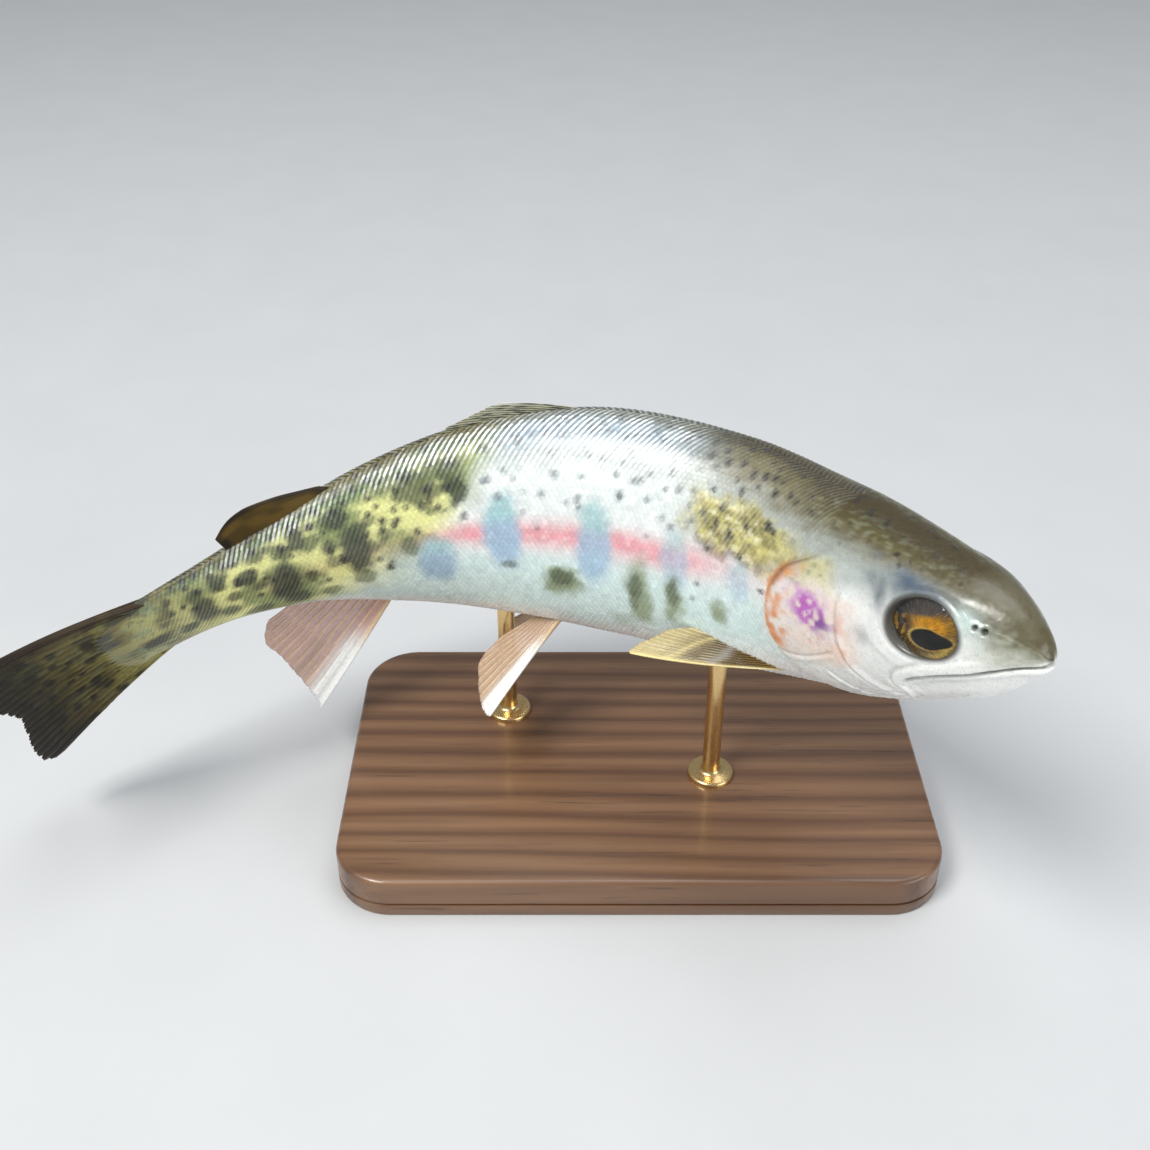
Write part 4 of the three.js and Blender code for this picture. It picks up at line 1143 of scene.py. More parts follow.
    q = []
    for i in range(2):
        for jj in range(4):
            b = i * 5 + jj
            q.append([b, b + 5, b + 6, b + 1])
    for k in range(12):
        a, b = 15 + k, 15 + (k + 1) % 12
        q.append([a, b, b + 12, a + 12])
    q = np.array(q)
    t = np.array([[35, 27 + (8 + k) % 12, 27 + (9 + k) % 12] for k in range(1, 11)])   # a fan from the tip
    # which way round the top faces are, on the right side
    v0 = V[0] if side[0] > 0 else V[np.argmax(side > 0)]
    normal0 = np.cross(v0[q[0][1]] - v0[q[0][0]], v0[q[0][3]] - v0[q[0][0]])
    i0 = 0 if side[0] > 0 else int(np.argmax(side > 0))
    out0 = flex(*[np.array([k]) for k in (X[i0, 7], 0, 0)])[0]
    facing = np.dot(normal0, v0[7] - out0) > 0
    if not facing:
        q[:8] = q[:8][:, ::-1]
    # rim and underside turn the other way from the top where needed
    ctr = v0[:15].mean(0)
    rim_n = np.cross(v0[q[8][1]] - v0[q[8][0]], v0[q[8][3]] - v0[q[8][0]])
    if np.dot(rim_n, v0[q[8]].mean(0) - ctr) < 0:
        q[8:] = q[8:][:, ::-1]
    und = np.cross(v0[t[3][1]] - v0[t[3][0]], v0[t[3][2]] - v0[t[3][0]])
    if np.dot(und, v0[7] - out0) > 0:
        t = t[:, ::-1]

    mat = scale_material()
    zone = np.where(w0 < -6.0 * (0.35 + 0.65 * step(1.0, 0.6, s0)), 0, 1)
    names = {(0, 1): "scales_back_right", (0, -1): "scales_back_left", (1, 1): "scales_flank_right", (1, -1): "scales_flank_left"}
    for (zn, sd), name in names.items():
        pick = np.nonzero((zone == zn) & (side == sd))[0]
        if zn == 1 and len(pick) * 50 > 196000:
            half = np.median(w0[pick])
            groups = [(name, pick[w0[pick] <= half]), (name.replace("flank", "belly"), pick[w0[pick] > half])]
        else:
            groups = [(name, pick)]
        for nm, idx in groups:
            k = len(idx)
            off = (np.arange(k) * m)[:, None, None]
            qq = q[None] + off
            tt = t[None] + off
            if sd < 0:
                qq, tt = qq[:, :, ::-1], tt[:, :, ::-1]
            ob = add_mesh(nm, V[idx].reshape(-1, 3), qq.reshape(-1, 4), tt.reshape(-1, 3))
            flat = np.ones(k * (len(q) + len(t)), bool)
            top_quads = (np.arange(k * len(q)) % len(q)) < 8
            flat[:k * len(q)] = ~top_quads
            ob.data.polygons.foreach_set("use_smooth", ~flat)
            set_attr(ob, "paint", np.clip(col[idx].reshape(-1, 3), 0, 1), "FLOAT_COLOR")
            set_attr(ob, "silver", silver[idx].ravel())
            set_attr(ob, "glint", glint[idx].ravel())
            set_attr(ob, "edge", edge[idx].ravel())
            set_attr(ob, "local", local[idx].reshape(-1, 3), "FLOAT_VECTOR")
            # patches at the roots' places on an unwrap by length and girth
            u0 = lerp(0.02, 0.98, (x0[idx] - x0[idx].min()) / np.ptp(x0[idx]))
            g0 = w0[idx]
            v0_ = lerp(0.02, 0.98, (g0 - g0.min()) / np.ptp(g0))
            inset = 1 - 0.08 * lay[None, :]          # the walls keep a width of their own
            uu = u0[:, None] + (Pl[None, :] - 0.5) * 0.003 * inset
            vv = v0_[:, None] + Ql[None, :] * 0.0015 * inset
            set_uv(ob, np.stack([uu, vv], -1).reshape(-1, 2), "OFBake")
            finish_piece(ob, mat, "skin")
            print(nm, k, "scales", k * 50, "triangles")


build_scales()


# ------------------------------------------------------------------ the eyes
def iris_material():
    m = Nodes("trout_eye")
    rad, ang = m.attr("rad"), m.attr("ang")
    co = m.add("ShaderNodeCombineXYZ")
    m.link(m.math("MULTIPLY", m.math("COSINE", ang), 2.2), co.inputs[0])
    m.link(m.math("MULTIPLY", m.math("SINE", ang), 2.2), co.inputs[1])
    m.link(m.math("MULTIPLY", rad, 0.45), co.inputs[2])
    fibre = m.noise(co.outputs[0], 11, 4, 0.65)
    blot = m.noise(m.coords(), 1300, 3, 0.6)
    pupil = m.attr("pupil")
    col = m.attr("paint", "Color")
    col = m.mix(m.math("MULTIPLY", m.range(fibre, 0.62, 0.34), 0.55), col, (0.045, 0.022, 0.008, 1))
    col = m.mix(m.math("MULTIPLY", m.range(fibre, 0.56, 0.74), 0.50), col, (0.95, 0.66, 0.18, 1), "SCREEN")
    col = m.mix(m.range(blot, 0.50, 0.75, 0, 0.30), col, (0.12, 0.06, 0.02, 1))
    col = m.mix(pupil, col, (0.0015, 0.0015, 0.002, 1))
    iris = m.math("SUBTRACT", 1.0, pupil)
    m.set(base=col, rough=0.42, spec=0.15, metal=m.math("MULTIPLY", iris, 0.30), normal=m.bump(fibre, 0.30, 0.00012))
    return m.mat


def cornea_material():
    m = Nodes("trout_cornea")
    fine = m.noise(m.coords(), 300, 2, 0.5)
    m.set(base=(1, 1, 1, 1), rough=0.0, ior=1.34, trans=1.0, spec=0.28, normal=m.bump(fine, 0.03, 0.00005))
    return m.mat


def build_eye(side, iris, cornea):
    word = "right" if side > 0 else "left"
    up, front = math.radians(8), math.radians(6)
    # outward, forward-to-tail and up directions of the eye in the fish's own space
    out = np.array([-math.sin(front), side * math.cos(front) * math.cos(up), math.cos(front) * math.sin(up)])
    tail = np.array([math.cos(front), side * math.sin(front), 0.0])
    tail -= out * tail.dot(out)
    tail /= np.linalg.norm(tail)
    high = np.cross(tail, out) * side * -1
    if high[2] < 0:
        high = -high
    s0 = EYE_AT[0] / LENGTH
    aa = np.linspace(0.3, np.pi - 0.3, 2000)
    _, yy, zz = skin(np.full_like(aa, s0), aa)
    k = np.argmin(np.abs(zz - EYE_AT[1]))
    centre = np.array([EYE_AT[0], side * yy[k], EYE_AT[1]]) - out * 0.25
    nr, na = 60, 160
    rr = np.linspace(0, 1, nr + 1)[1:]
    th = np.linspace(0, 2 * np.pi, na, endpoint=False)
    R, T = np.meshgrid(rr, th, indexing="ij")
    A, B = EYE_A + 0.30, EYE_B + 0.30
    px, pz = R * np.cos(T) * A, R * np.sin(T) * B

    def place(px, pz, h):
        q = centre + px[..., None] * tail + pz[..., None] * high + h[..., None] * out
        return flex(q[..., 0], q[..., 1], q[..., 2])

    # the pupil sits forward and low, and runs to a point in front
    cx, cz = -1.45, -1.15
    dx, dz = px - cx, pz - cz
    ang = np.arctan2(dz, dx)
    front_of = step(0.3, -2.2, dx)
    pr = np.hypot(dx / np.where(dx > 0, 3.1, 3.3), dz / (1.48 * (1 - 0.24 * front_of)))
    pupil = step(1.05, 0.96, pr)
    gold = np.array([0.62, 0.34, 0.06])
    amber = np.array([1.0, 0.46, 0.03])
    yellow = np.array([0.95, 0.72, 0.16])
    dusk = np.array([0.030, 0.022, 0.012])
    slate = np.array([0.075, 0.095, 0.125])
    n1 = noise(px + 40 * side, pz, 0 * px, 1.5, 61)
    n2 = noise(px, pz - 30, 0 * px, 0.55, 62)

    def to(col, colour, k):
        k = np.clip(k, 0, 1)[..., None]
        return col * (1 - k) + colour * k
    shade = np.tile(gold * 0.85, (*px.shape, 1))
    # dusky bars before and behind the pupil, dark lower rear, and a dark upper third with a painted sky reflection
    # turning it slate-blue
    shade = to(shade, dusk, 0.90 * bell(pz - cz + 0.1, 1.55) * step(1.0, 1.5, pr))
    shade = to(shade, dusk * 1.3, 0.95 * step(0.9, 2.7, px) * (0.62 + 0.6 * n1))
    shade = to(shade, dusk * 1.3, 0.90 * step(-1.0, -2.6, pz) * step(-2.8, -0.4, px) * (0.65 + 0.5 * n1))
    shade = to(shade, slate, 0.90 * step(1.15, 2.5, pz + 0.18 * px + 0.9 * (n1 - 0.5)))
    # streaks of gold in the rear part, a bright amber patch above the pupil
    streak = step(0.52, 0.74, n2 + 0.30 * np.sin(2.6 * (px * 0.75 + pz * 0.66)) ** 2 - 0.12) * step(2.2, 3.2, px) * step(5.6, 4.4, px) * step(2.6, 1.2, np.abs(pz - 0.1))
    shade = to(shade, gold * 1.15, 0.85 * streak)
    shade = to(shade, amber, 0.98 * step(1.3, 0.6, np.hypot((px + 1.6) / 2.5, (pz - 0.75) / 1.25) + 0.25 * (n1 - 0.5)))
    # the thin bright margin of the pupil, and a gold crescent low in front
    margin = bell(pr - 1.12, 0.075) * (0.30 + 0.70 * bell(np.degrees(ang) - 48, 62))
    shade = to(shade, yellow, margin)
    low_front = bell((np.degrees(T) - 228 + 180) % 360 - 180, 34) * bell(R - 0.80, 0.085)
    shade = to(shade, yellow * 0.9, 0.95 * low_front)
    # dark outer rim
    shade = to(shade, dusk * 0.7, 0.92 * step(0.875, 0.945, R))
    dome = 1 - R ** 2
    h = -0.85 + 0.95 * dome ** 1.0 + 0.24 * step(1.0, 0.2, pr) - 0.10 * bell(pr - 1.05, 0.10)
    h = h - 0.9 * step(0.93, 1.0, R)
    V = place(px, pz, h).reshape(-1, 3)
    c = place(np.array([0.0]), np.array([0.0]), h[0, :1] * 0 + h[0].mean())
    back = place(px[-1] * 0.8, pz[-1] * 0.8, np.full(na, -2.3))
    bc = place(np.array([0.0]), np.array([0.0]), np.array([-2.6]))
    verts = np.concatenate([V, back, c, bc])
    quads = grid_faces(nr + 1, na, closed=True)
    j = np.arange(na)
    ci, bi = (nr + 1) * na, (nr + 1) * na + 1
    tris = np.concatenate([np.stack([np.full(na, ci), j, (j + 1) % na], -1),
                           np.stack([np.full(na, bi), nr * na + (j + 1) % na, nr * na + j], -1)])
    nrm = np.cross(verts[tris[0][1]] - verts[tris[0][0]], verts[tris[0][2]] - verts[tris[0][0]])
    outw = place(np.array([0.0]), np.array([0.0]), np.array([1.0]))[0] - c[0]
    if np.dot(nrm, outw) < 0:
        quads, tris = quads[:, ::-1], tris[:, ::-1]
    ob = add_mesh("eye_ball_" + word, verts, quads, tris)

    def full(v, centre_value=0.0):
        return np.concatenate([v.ravel(), v.reshape(nr, na)[-1], [centre_value, 0.0]])
    set_attr(ob, "rad", full(R))
    set_attr(ob, "ang", full(T))
    set_attr(ob, "pupil", full(pupil, 1.0))
    flat = shade.reshape(-1, 3)
    set_attr(ob, "paint", np.clip(np.concatenate([flat, flat[-na:], flat[:1], flat[-1:]]), 0, 1), "FLOAT_COLOR")
    set_uv(ob, np.stack([0.5 + 0.48 * full(R) * np.cos(full(T)), 0.5 + 0.48 * full(R) * np.sin(full(T))], -1))
    finish_piece(ob, iris, "eye", "eye_" + word)

    # the clear cornea: a dome that reaches down behind the iris
    nr2 = 24
    rr = np.sin(np.linspace(0, 1, nr2 + 1)[1:] * np.pi / 2)
    R, T = np.meshgrid(rr, th, indexing="ij")
    px, pz = R * np.cos(T) * (A - 0.04), R * np.sin(T) * (B - 0.04)
    outer = -0.95 + 1.76 * (1 - R ** 2.4)
    Vo = place(px, pz, outer).reshape(-1, 3)
    Vi = place(px[::4] * 0.985, pz[::4] * 0.985, outer[::4] * 0 - 1.9).reshape(-1, 3)
    ni = len(px[::4])
    co, ci_ = place(np.array([0.0]), np.array([0.0]), np.array([0.81])), place(np.array([0.0]), np.array([0.0]), np.array([-1.9]))
    verts = np.concatenate([Vo, Vi, co, ci_])
    qo = grid_faces(nr2, na, closed=True)
    qi = grid_faces(ni, na, closed=True)[:, ::-1] + nr2 * na
    e1, e2 = (nr2 - 1) * na, nr2 * na + (ni - 1) * na
    rim = np.stack([e1 + j, e2 + j, e2 + (j + 1) % na, e1 + (j + 1) % na], -1)
    c1, c2 = len(verts) - 2, len(verts) - 1
    tris = np.concatenate([np.stack([np.full(na, c1), j, (j + 1) % na], -1), np.stack([np.full(na, c2), nr2 * na + (j + 1) % na, nr2 * na + j], -1)])
    quads = np.concatenate([qo, qi, rim])
    nrm = np.cross(verts[tris[0][1]] - verts[tris[0][0]], verts[tris[0][2]] - verts[tris[0][0]])
    if np.dot(nrm, outw) < 0:
        quads, tris = quads[:, ::-1], tris[:, ::-1]
    ob = add_mesh("eye_cornea_" + word, verts, quads, tris)
    finish_piece(ob, cornea, "eye", "eye_" + word)

    # the orbit's rim: a smooth fold of skin round the eye
    prof = [(0.90, -1.05), (0.93, -0.72), (0.955, -0.38), (0.975, -0.12), (1.0, 0.06), (1.035, 0.19), (1.08, 0.24), (1.13, 0.21), (1.18, 0.13),
            (1.235, 0.05), (1.29, 0.01), (1.345, -0.04), (1.37, -0.16)]
    th2 = np.linspace(0, 2 * np.pi, 224, endpoint=False)
    Rr = np.array([q[0] for q in prof])[:, None] + 0 * th2
    up_lift = 0.75 + 0.55 * step(-0.2, 0.9, np.sin(th2))            # heavier over the eye
    Hh = np.array([q[1] for q in prof])[:, None] * np.where(np.array([q[1] for q in prof])[:, None] > 0, up_lift, 1) + 0 * th2
    X = EYE_AT[0] + Rr * EYE_A * np.cos(th2)
    Z = EYE_AT[1] + Rr * EYE_B * np.sin(th2)
    S = X / LENGTH
    wide_ = form(4, S) * LENGTH
    above = Z >= wide_
    tall = np.where(above, form(1, S) * LENGTH - wide_, wide_ - form(2, S) * LENGTH)
    ex = 2 / np.where(above, form(5, S), form(6, S))
    cc = np.clip(np.abs(Z - wide_) / tall, 0, 0.999) ** (1 / ex)
    Aa = np.where(above, np.arccos(cc), np.pi - np.arccos(cc))
    extra = relief(X.ravel(), Z.ravel(), Aa.ravel())[0].reshape(X.shape)
    extra = np.where(Rr > 1.25, extra, 0)
    fx, fy, fz = skin(S, Aa)
    nn = skin_normal(S, Aa)
    hh = Hh + extra
    V = flex(fx + nn[..., 0] * hh, (fy + nn[..., 1] * hh) * side, fz + nn[..., 2] * hh).reshape(-1, 3)
    q = grid_faces(len(prof), len(th2), closed=True)
    f = q[4 * len(th2)]
    n0 = np.cross(V[f[1]] - V[f[0]], V[f[3]] - V[f[0]])
    if np.dot(n0, outw) < 0:
        q = q[:, ::-1]
    ob = add_mesh("eye_rim_" + word, V, q)
    col, silver, _ = paint(S, Aa, side < 0)
    # painted shade where the rim's skin turns down into the socket round the eye, a little darker along the lower side
    k = step(1.16, 1.0, Rr.ravel() + 0.03 * np.sin(3 * np.tile(th2, len(prof)) + 1))[:, None]
    tone = srgb(58, 56, 46) * (1 - 0.35 * np.tile(np.clip(-np.sin(th2), 0, 1), len(prof)))[:, None]
    col = col * (1 - 0.92 * k) + tone * 0.92 * k
    set_attr(ob, "paint", np.clip(col, 0, 1), "FLOAT_COLOR")
    set_attr(ob, "silver", silver * (1 - k[:, 0]))
    set_uv(ob, np.stack([np.tile(th2 / (2 * np.pi), len(prof)) * 0.98 + 0.01, np.repeat(np.linspace(0.01, 0.99, len(prof)), len(th2))], -1))
    finish_piece(ob, SKIN_MAT, "skin")


SKIN_MAT = bpy.data.materials["trout_skin"]
_iris, _cornea = iris_material(), cornea_material()
for _side in (1, -1):
    build_eye(_side, _iris, _cornea)


# ------------------------------------------------------------------ the fins
def median_at(f):
    def at(u, v):
        s, z = f["root"](u)
        d = f["reach"](u) * v
        sign = np.where((u < 0.5) & f["forked"], -1, 1)
        a, b = np.radians(f["dir"](u)), np.radians(f["dir"](u) + f["curl"] * v * sign)
        aim = (a + b) / 2
        rise, lean = np.sin(aim) * d, math.radians(f["lean"])
        return s * LENGTH + np.cos(aim) * d, np.abs(rise) * math.sin(lean), z + rise * math.cos(lean)
    return at


def paired_at(f, side):
    """Rigid in the frame of the spine at its own station."""
    p0 = on_spine(np.array(f["at"])) + SHIFT
    ahead, right, up = axes(np.array(f["at"]))

    def at(u, v):
        aim = lerp(np.array(f["lead"]), np.array(f["last"]), u[..., None])
        aim = aim / np.linalg.norm(aim, axis=-1, keepdims=True)
        q = lerp(np.array(f["base"][0]), np.array(f["base"][1]), u[..., None]) + aim * (f["reach"](u) * v)[..., None]
        q[..., 2] -= f["bow"] * v * v * (1 - 0.5 * u)
        return p0 - ahead * q[..., :1] + right * side * q[..., 1:2] + up * q[..., 2:3]
    return at


def fin_mesh(name, points, rays, n_u, n_v, root_mm, edge_mm, colours, material, nodes, ripple=0.22, ragged=0.018, seed=1, spine_lead=True,
             branch=0.42):
    """A closed blade with raised, branching rays. `points(u, v)` gives the middle
    surface in the frame, `colours(u, v, ray)` the paint and how solid it is."""
    rng = np.random.default_rng(seed)
    u, v = np.meshgrid(np.linspace(0, 1, n_u), np.linspace(0, 1, n_v), indexing="ij")
    # each ray ends in a slightly different place and the web dips between them
    cell = u * rays
    idx = np.clip(np.floor(cell), 0, rays - 1).astype(int)
    frac = cell - idx
    lens = 1 + rng.normal(0, 0.008, rays + 1)
    tipvar = lens[idx] * (1 - frac) + lens[np.minimum(idx + 1, rays)] * frac
    web = (np.abs(frac - 0.5) * 2) ** 2
    scallop = 1 - ragged * (1 - 0.75 * (1 - web)) * step(0.0, 0.15, u) - 0.008 * np.abs(np.sin(cell * np.pi * 3 + 1)) * step(0, 0.1, u)
    vv = v * (1 + (tipvar * scallop - 1) * step(0.5, 1.0, v))
    p = points(u, vv)
    pu = np.gradient(p, axis=0)
    pv = np.gradient(p, axis=1)
    n = np.cross(pu, pv)
    n /= np.linalg.norm(n, axis=-1, keepdims=True) + 1e-9
    # rays: one ridge a cell that forks, and forks again, towards the edge
    f1 = step(branch, branch + 0.22, v) * (0.0 if not spine_lead else step(0.5 / rays, 1.6 / rays, u))
    f2 = step(0.72, 0.92, v) * f1
    x = frac - 0.5
    w1 = lerp(0.17, 0.10, v)
    ray = np.zeros_like(u)
    for a in (-1, 1):
        for b in (-1, 1):
            ray = np.maximum(ray, bell(x - a * 0.20 * f1 - b * 0.085 * f2, w1 * (1 - 0.25 * f1) * (1 - 0.25 * f2)))
    # joints along the soft rays
    joint = 1 - 0.18 * (0.5 + 0.5 * np.cos(v * 95)) * step(0.25, 0.5, v)
    first = bell(u * rays - 0.25, 0.42)
    ridge = np.maximum(ray * joint, first)
    thick = lerp(root_mm, edge_mm, v ** 0.7)
    web_t = 0.16 + 0.22 * (1 - v)
    t = web_t + np.maximum(thick - web_t, 0.06) * ridge
    t = t * lerp(1, 0.55, step(0.93, 1.0, v)) * (0.6 + 0.4 * step(0, 0.02, np.minimum(u, 1 - u) + 0.004))
    wave = ripple * v * (np.sin(u * 9.0 + 2.2 * v + seed) * 0.6 + np.sin(u * 23 + seed * 2.1) * 0.25) * step(0.0, 0.12, u)
    pleat = 0.10 * np.cos(cell * 2 * np.pi) * step(0.1, 0.5, v)
    mid = p + n * (wave + pleat)[..., None]
    front, back = mid + n * t[..., None] / 2, mid - n * t[..., None] / 2
    verts = np.concatenate([front.reshape(-1, 3), back.reshape(-1, 3)])
    nn = n_u * n_v
    q1 = grid_faces(n_u, n_v)
    q2 = q1[:, ::-1] + nn
    i, j = np.arange(n_u), np.arange(n_v)

    def strip(line, flip):
        a, b = line[:-1], line[1:]
        q = np.stack([a, b, b + nn, a + nn], -1)
        return q[:, ::-1] if flip else q
    sides = [strip(j, False), strip((n_u - 1) * n_v + j, True), strip(i * n_v, True), strip(i * n_v + n_v - 1, False)]
    quads = np.concatenate([q1, q2, *sides])
    # front faces look along +n
    f = quads[0]
    if np.dot(np.cross(verts[f[1]] - verts[f[0]], verts[f[3]] - verts[f[0]]), n[0, 0]) < 0:
        quads = quads[:, ::-1]
    ob = add_mesh(name, verts, quads)
    col, solid = colours(u, v, ridge)
    col = np.clip(np.concatenate([col.reshape(-1, 3)] * 2), 0, 1)
    set_attr(ob, "paint", col, "FLOAT_COLOR")
    set_attr(ob, "body", np.clip(np.concatenate([solid.ravel()] * 2), 0, 1))
    uu = np.concatenate([0.01 + 0.47 * u.ravel(), 0.52 + 0.47 * u.ravel()])
    set_uv(ob, np.stack([uu, np.concatenate([v.ravel()] * 2) * 0.98 + 0.01], -1))
    finish_piece(ob, material, "fin", *nodes)
    return ob


def over(a, b, k):
    k = np.clip(k, 0, 1)[..., None]
    return a * (1 - k) + b * k


def fin_spots(u, v, reach, chord, seed, count, r0, r1):
    """Dark round spots on a fin, between 0 and 1."""
    rng = np.random.default_rng(seed)
    x, y = u * chord, v * reach
    m = np.zeros_like(u)
    got = []
    for _ in range(count * 12):
        if len(got) >= count:
            break
        cx, cy, r = rng.uniform(0.03, 0.97) * chord, rng.uniform(0.08, 0.92) * reach, rng.uniform(r0, r1)
        if any(math.hypot(cx - a, cy - b) < 1.7 * (r + c) for a, b, c in got):
            continue
        got.append((cx, cy, r))
        q = np.hypot((x - cx), (y - cy) * 0.8) / r
        m = np.maximum(m, step(1.25, 0.7, q))
    return m


def flat_noise(u, v, su, sv, seed):
    return noise(u * su, v * sv, 0 * u, 1.0, seed)


def caudal_colours(u, v, ray):
    n = flat_noise(u, v, 9, 5, 3)
    n2 = flat_noise(u, v, 26, 9, 33)
    s, z = 0.972 + 0.012 * (1 - (2 * u - 1) ** 2), lerp(8.2, -8.4, u)
    d = (26 + 9.5 * np.abs(2 * u - 1) ** 1.5) * v
    aim = np.radians(lerp(25, -25, u))
    col = tail_tone(s * LENGTH + np.cos(aim) * d, z + np.sin(aim) * d)
    # painted light near the root, offsetting the shade among the rays and the darker fine-noise multiply, so the fin
    # meets the tail's scales
    col = col * lerp(1.40, 1.0, step(0.05, 0.5, v))[..., None]
    col = over(col, FIN_YELLOW * 0.70, 0.30 * ray * step(0.9, 0.25, v))
    col = over(col, FIN_DARK * 0.5, 0.42 * (1 - ray) * step(0.25, 0.55, v))
    col = over(col, SPOT * 0.5, 0.80 * fin_spots(u, v, 30, 26, 5, 44, 0.6, 1.2) * step(0.12, 0.3, v))
    col = over(col, FIN_DARK * 0.42, 0.50 * step(0.58, 0.80, n2) * step(0.2, 0.4, v))
    col = over(col, srgb(44, 28, 14), 0.92 * step(0.12, 0.03, u))
    col = over(col, FIN_DARK * 0.30, 0.80 * step(0.62, 0.95, v + 0.15 * (n - 0.5)))
    return col, 0.95 + 0.05 * ray + 0 * u


def dorsal_colours(u, v, ray):
    n = flat_noise(u, v, 7, 6, 8)
    col = np.tile(srgb(150, 158, 148), (*u.shape, 1))
    col = over(col, FIN_CREAM * 0.9, 0.40 * ray)
    col = over(col, FIN_OLIVE * 0.8, 0.55 * n * (1 - ray))
    col = over(col, SPOT, 0.85 * fin_spots(u, v, 16, 20, 9, 34, 0.5, 0.85))
    col = over(col, FIN_WHITE, 0.75 * step(0.14, 0.04, u) * step(0.72, 0.95, v))
    return col, 0.84 + 0.16 * ray


def adipose_colours(u, v, ray):
    n = flat_noise(u, v, 5, 4, 12)
    col = np.tile(srgb(102, 80, 30), (*u.shape, 1))
    rim = np.maximum(np.maximum(step(0.16, 0.04, u), step(0.82, 0.96, v)), step(0.88, 0.98, u))
    col = over(col, FIN_DARK * 0.55, 0.85 * rim + 0.50 * step(0.45, 0.75, n))
    return col, 0.98 + 0 * u


def anal_colours(u, v, ray):
    n = flat_noise(u, v, 8, 6, 15)
    col = np.tile(FIN_ROSE, (*u.shape, 1))
    col = over(col, FIN_CREAM, 0.45 * ray)
    col = over(col, srgb(160, 120, 112), 0.35 * n * (1 - ray))
    col = over(col, FIN_WHITE, 0.96 * step(0.26, 0.10, u) * step(0.25, 0.55, v))
    col = over(col, srgb(118, 104, 92), 0.30 * bell(u - 0.34, 0.07) * step(0.3, 0.7, v))
    return col, 0.62 + 0.30 * ray + 0.35 * step(0.24, 0.1, u)


def pelvic_colours(u, v, ray):
    n = flat_noise(u, v, 8, 6, 19)
    col = np.tile(srgb(214, 182, 160), (*u.shape, 1))
    col = over(col, FIN_CREAM, 0.45 * ray)
    col = over(col, srgb(190, 140, 120), 0.30 * n * (1 - ray))
    col = over(col, FIN_WHITE, 0.97 * step(0.30, 0.12, u) * step(0.15, 0.45, v))
    return col, 0.60 + 0.30 * ray + 0.38 * step(0.26, 0.12, u)


def pectoral_colours(u, v, ray):
    n = flat_noise(u, v, 8, 5, 21)
    col = np.tile(srgb(176, 160, 128), (*u.shape, 1))
    col = over(col, srgb(112, 84, 22), 0.95 * step(0.50, 0.30, v + 0.10 * (n - 0.5)))
    col = over(col, FIN_DARK, 0.72 * (1 - ray) * step(0.08, 0.3, v) * step(1.0, 0.5, v))
    col = over(col, FIN_CREAM, 0.80 * ray * step(0.30, 0.62, v))
    col = over(col, srgb(168, 132, 44), 0.65 * ray * step(0.55, 0.30, v))
    out = v + 0.16 * (u - 0.4) + 0.05 * (n - 0.5)
    col = over(col, srgb(190, 186, 178), 0.70 * bell(out - 0.41, 0.05))
    col = over(col, srgb(104, 86, 58), 0.62 * bell(out - 0.56, 0.06) * step(0.10, 0.22, u))
    col = over(col, FIN_CREAM * 1.1, 0.70 * bell(out - 0.69, 0.035))
    col = over(col, FIN_CREAM * 0.95, 0.70 * step(0.62, 0.90, v) * (0.55 + 0.45 * ray))
    col = over(col, FIN_CREAM * 1.05, 0.95 * step(0.11, 0.03, u) * step(0.0, 0.2, v))
    return col, 0.72 + 0.28 * ray + 0.3 * step(0.12, 0.05, u)


def trim(u, lead, last):
    """Rounds the two outer corners of a fin."""
    return 1 - lead * np.maximum(0, 1 - u / 0.16) ** 2 - last * np.maximum(0, (u - 0.7) / 0.3) ** 2


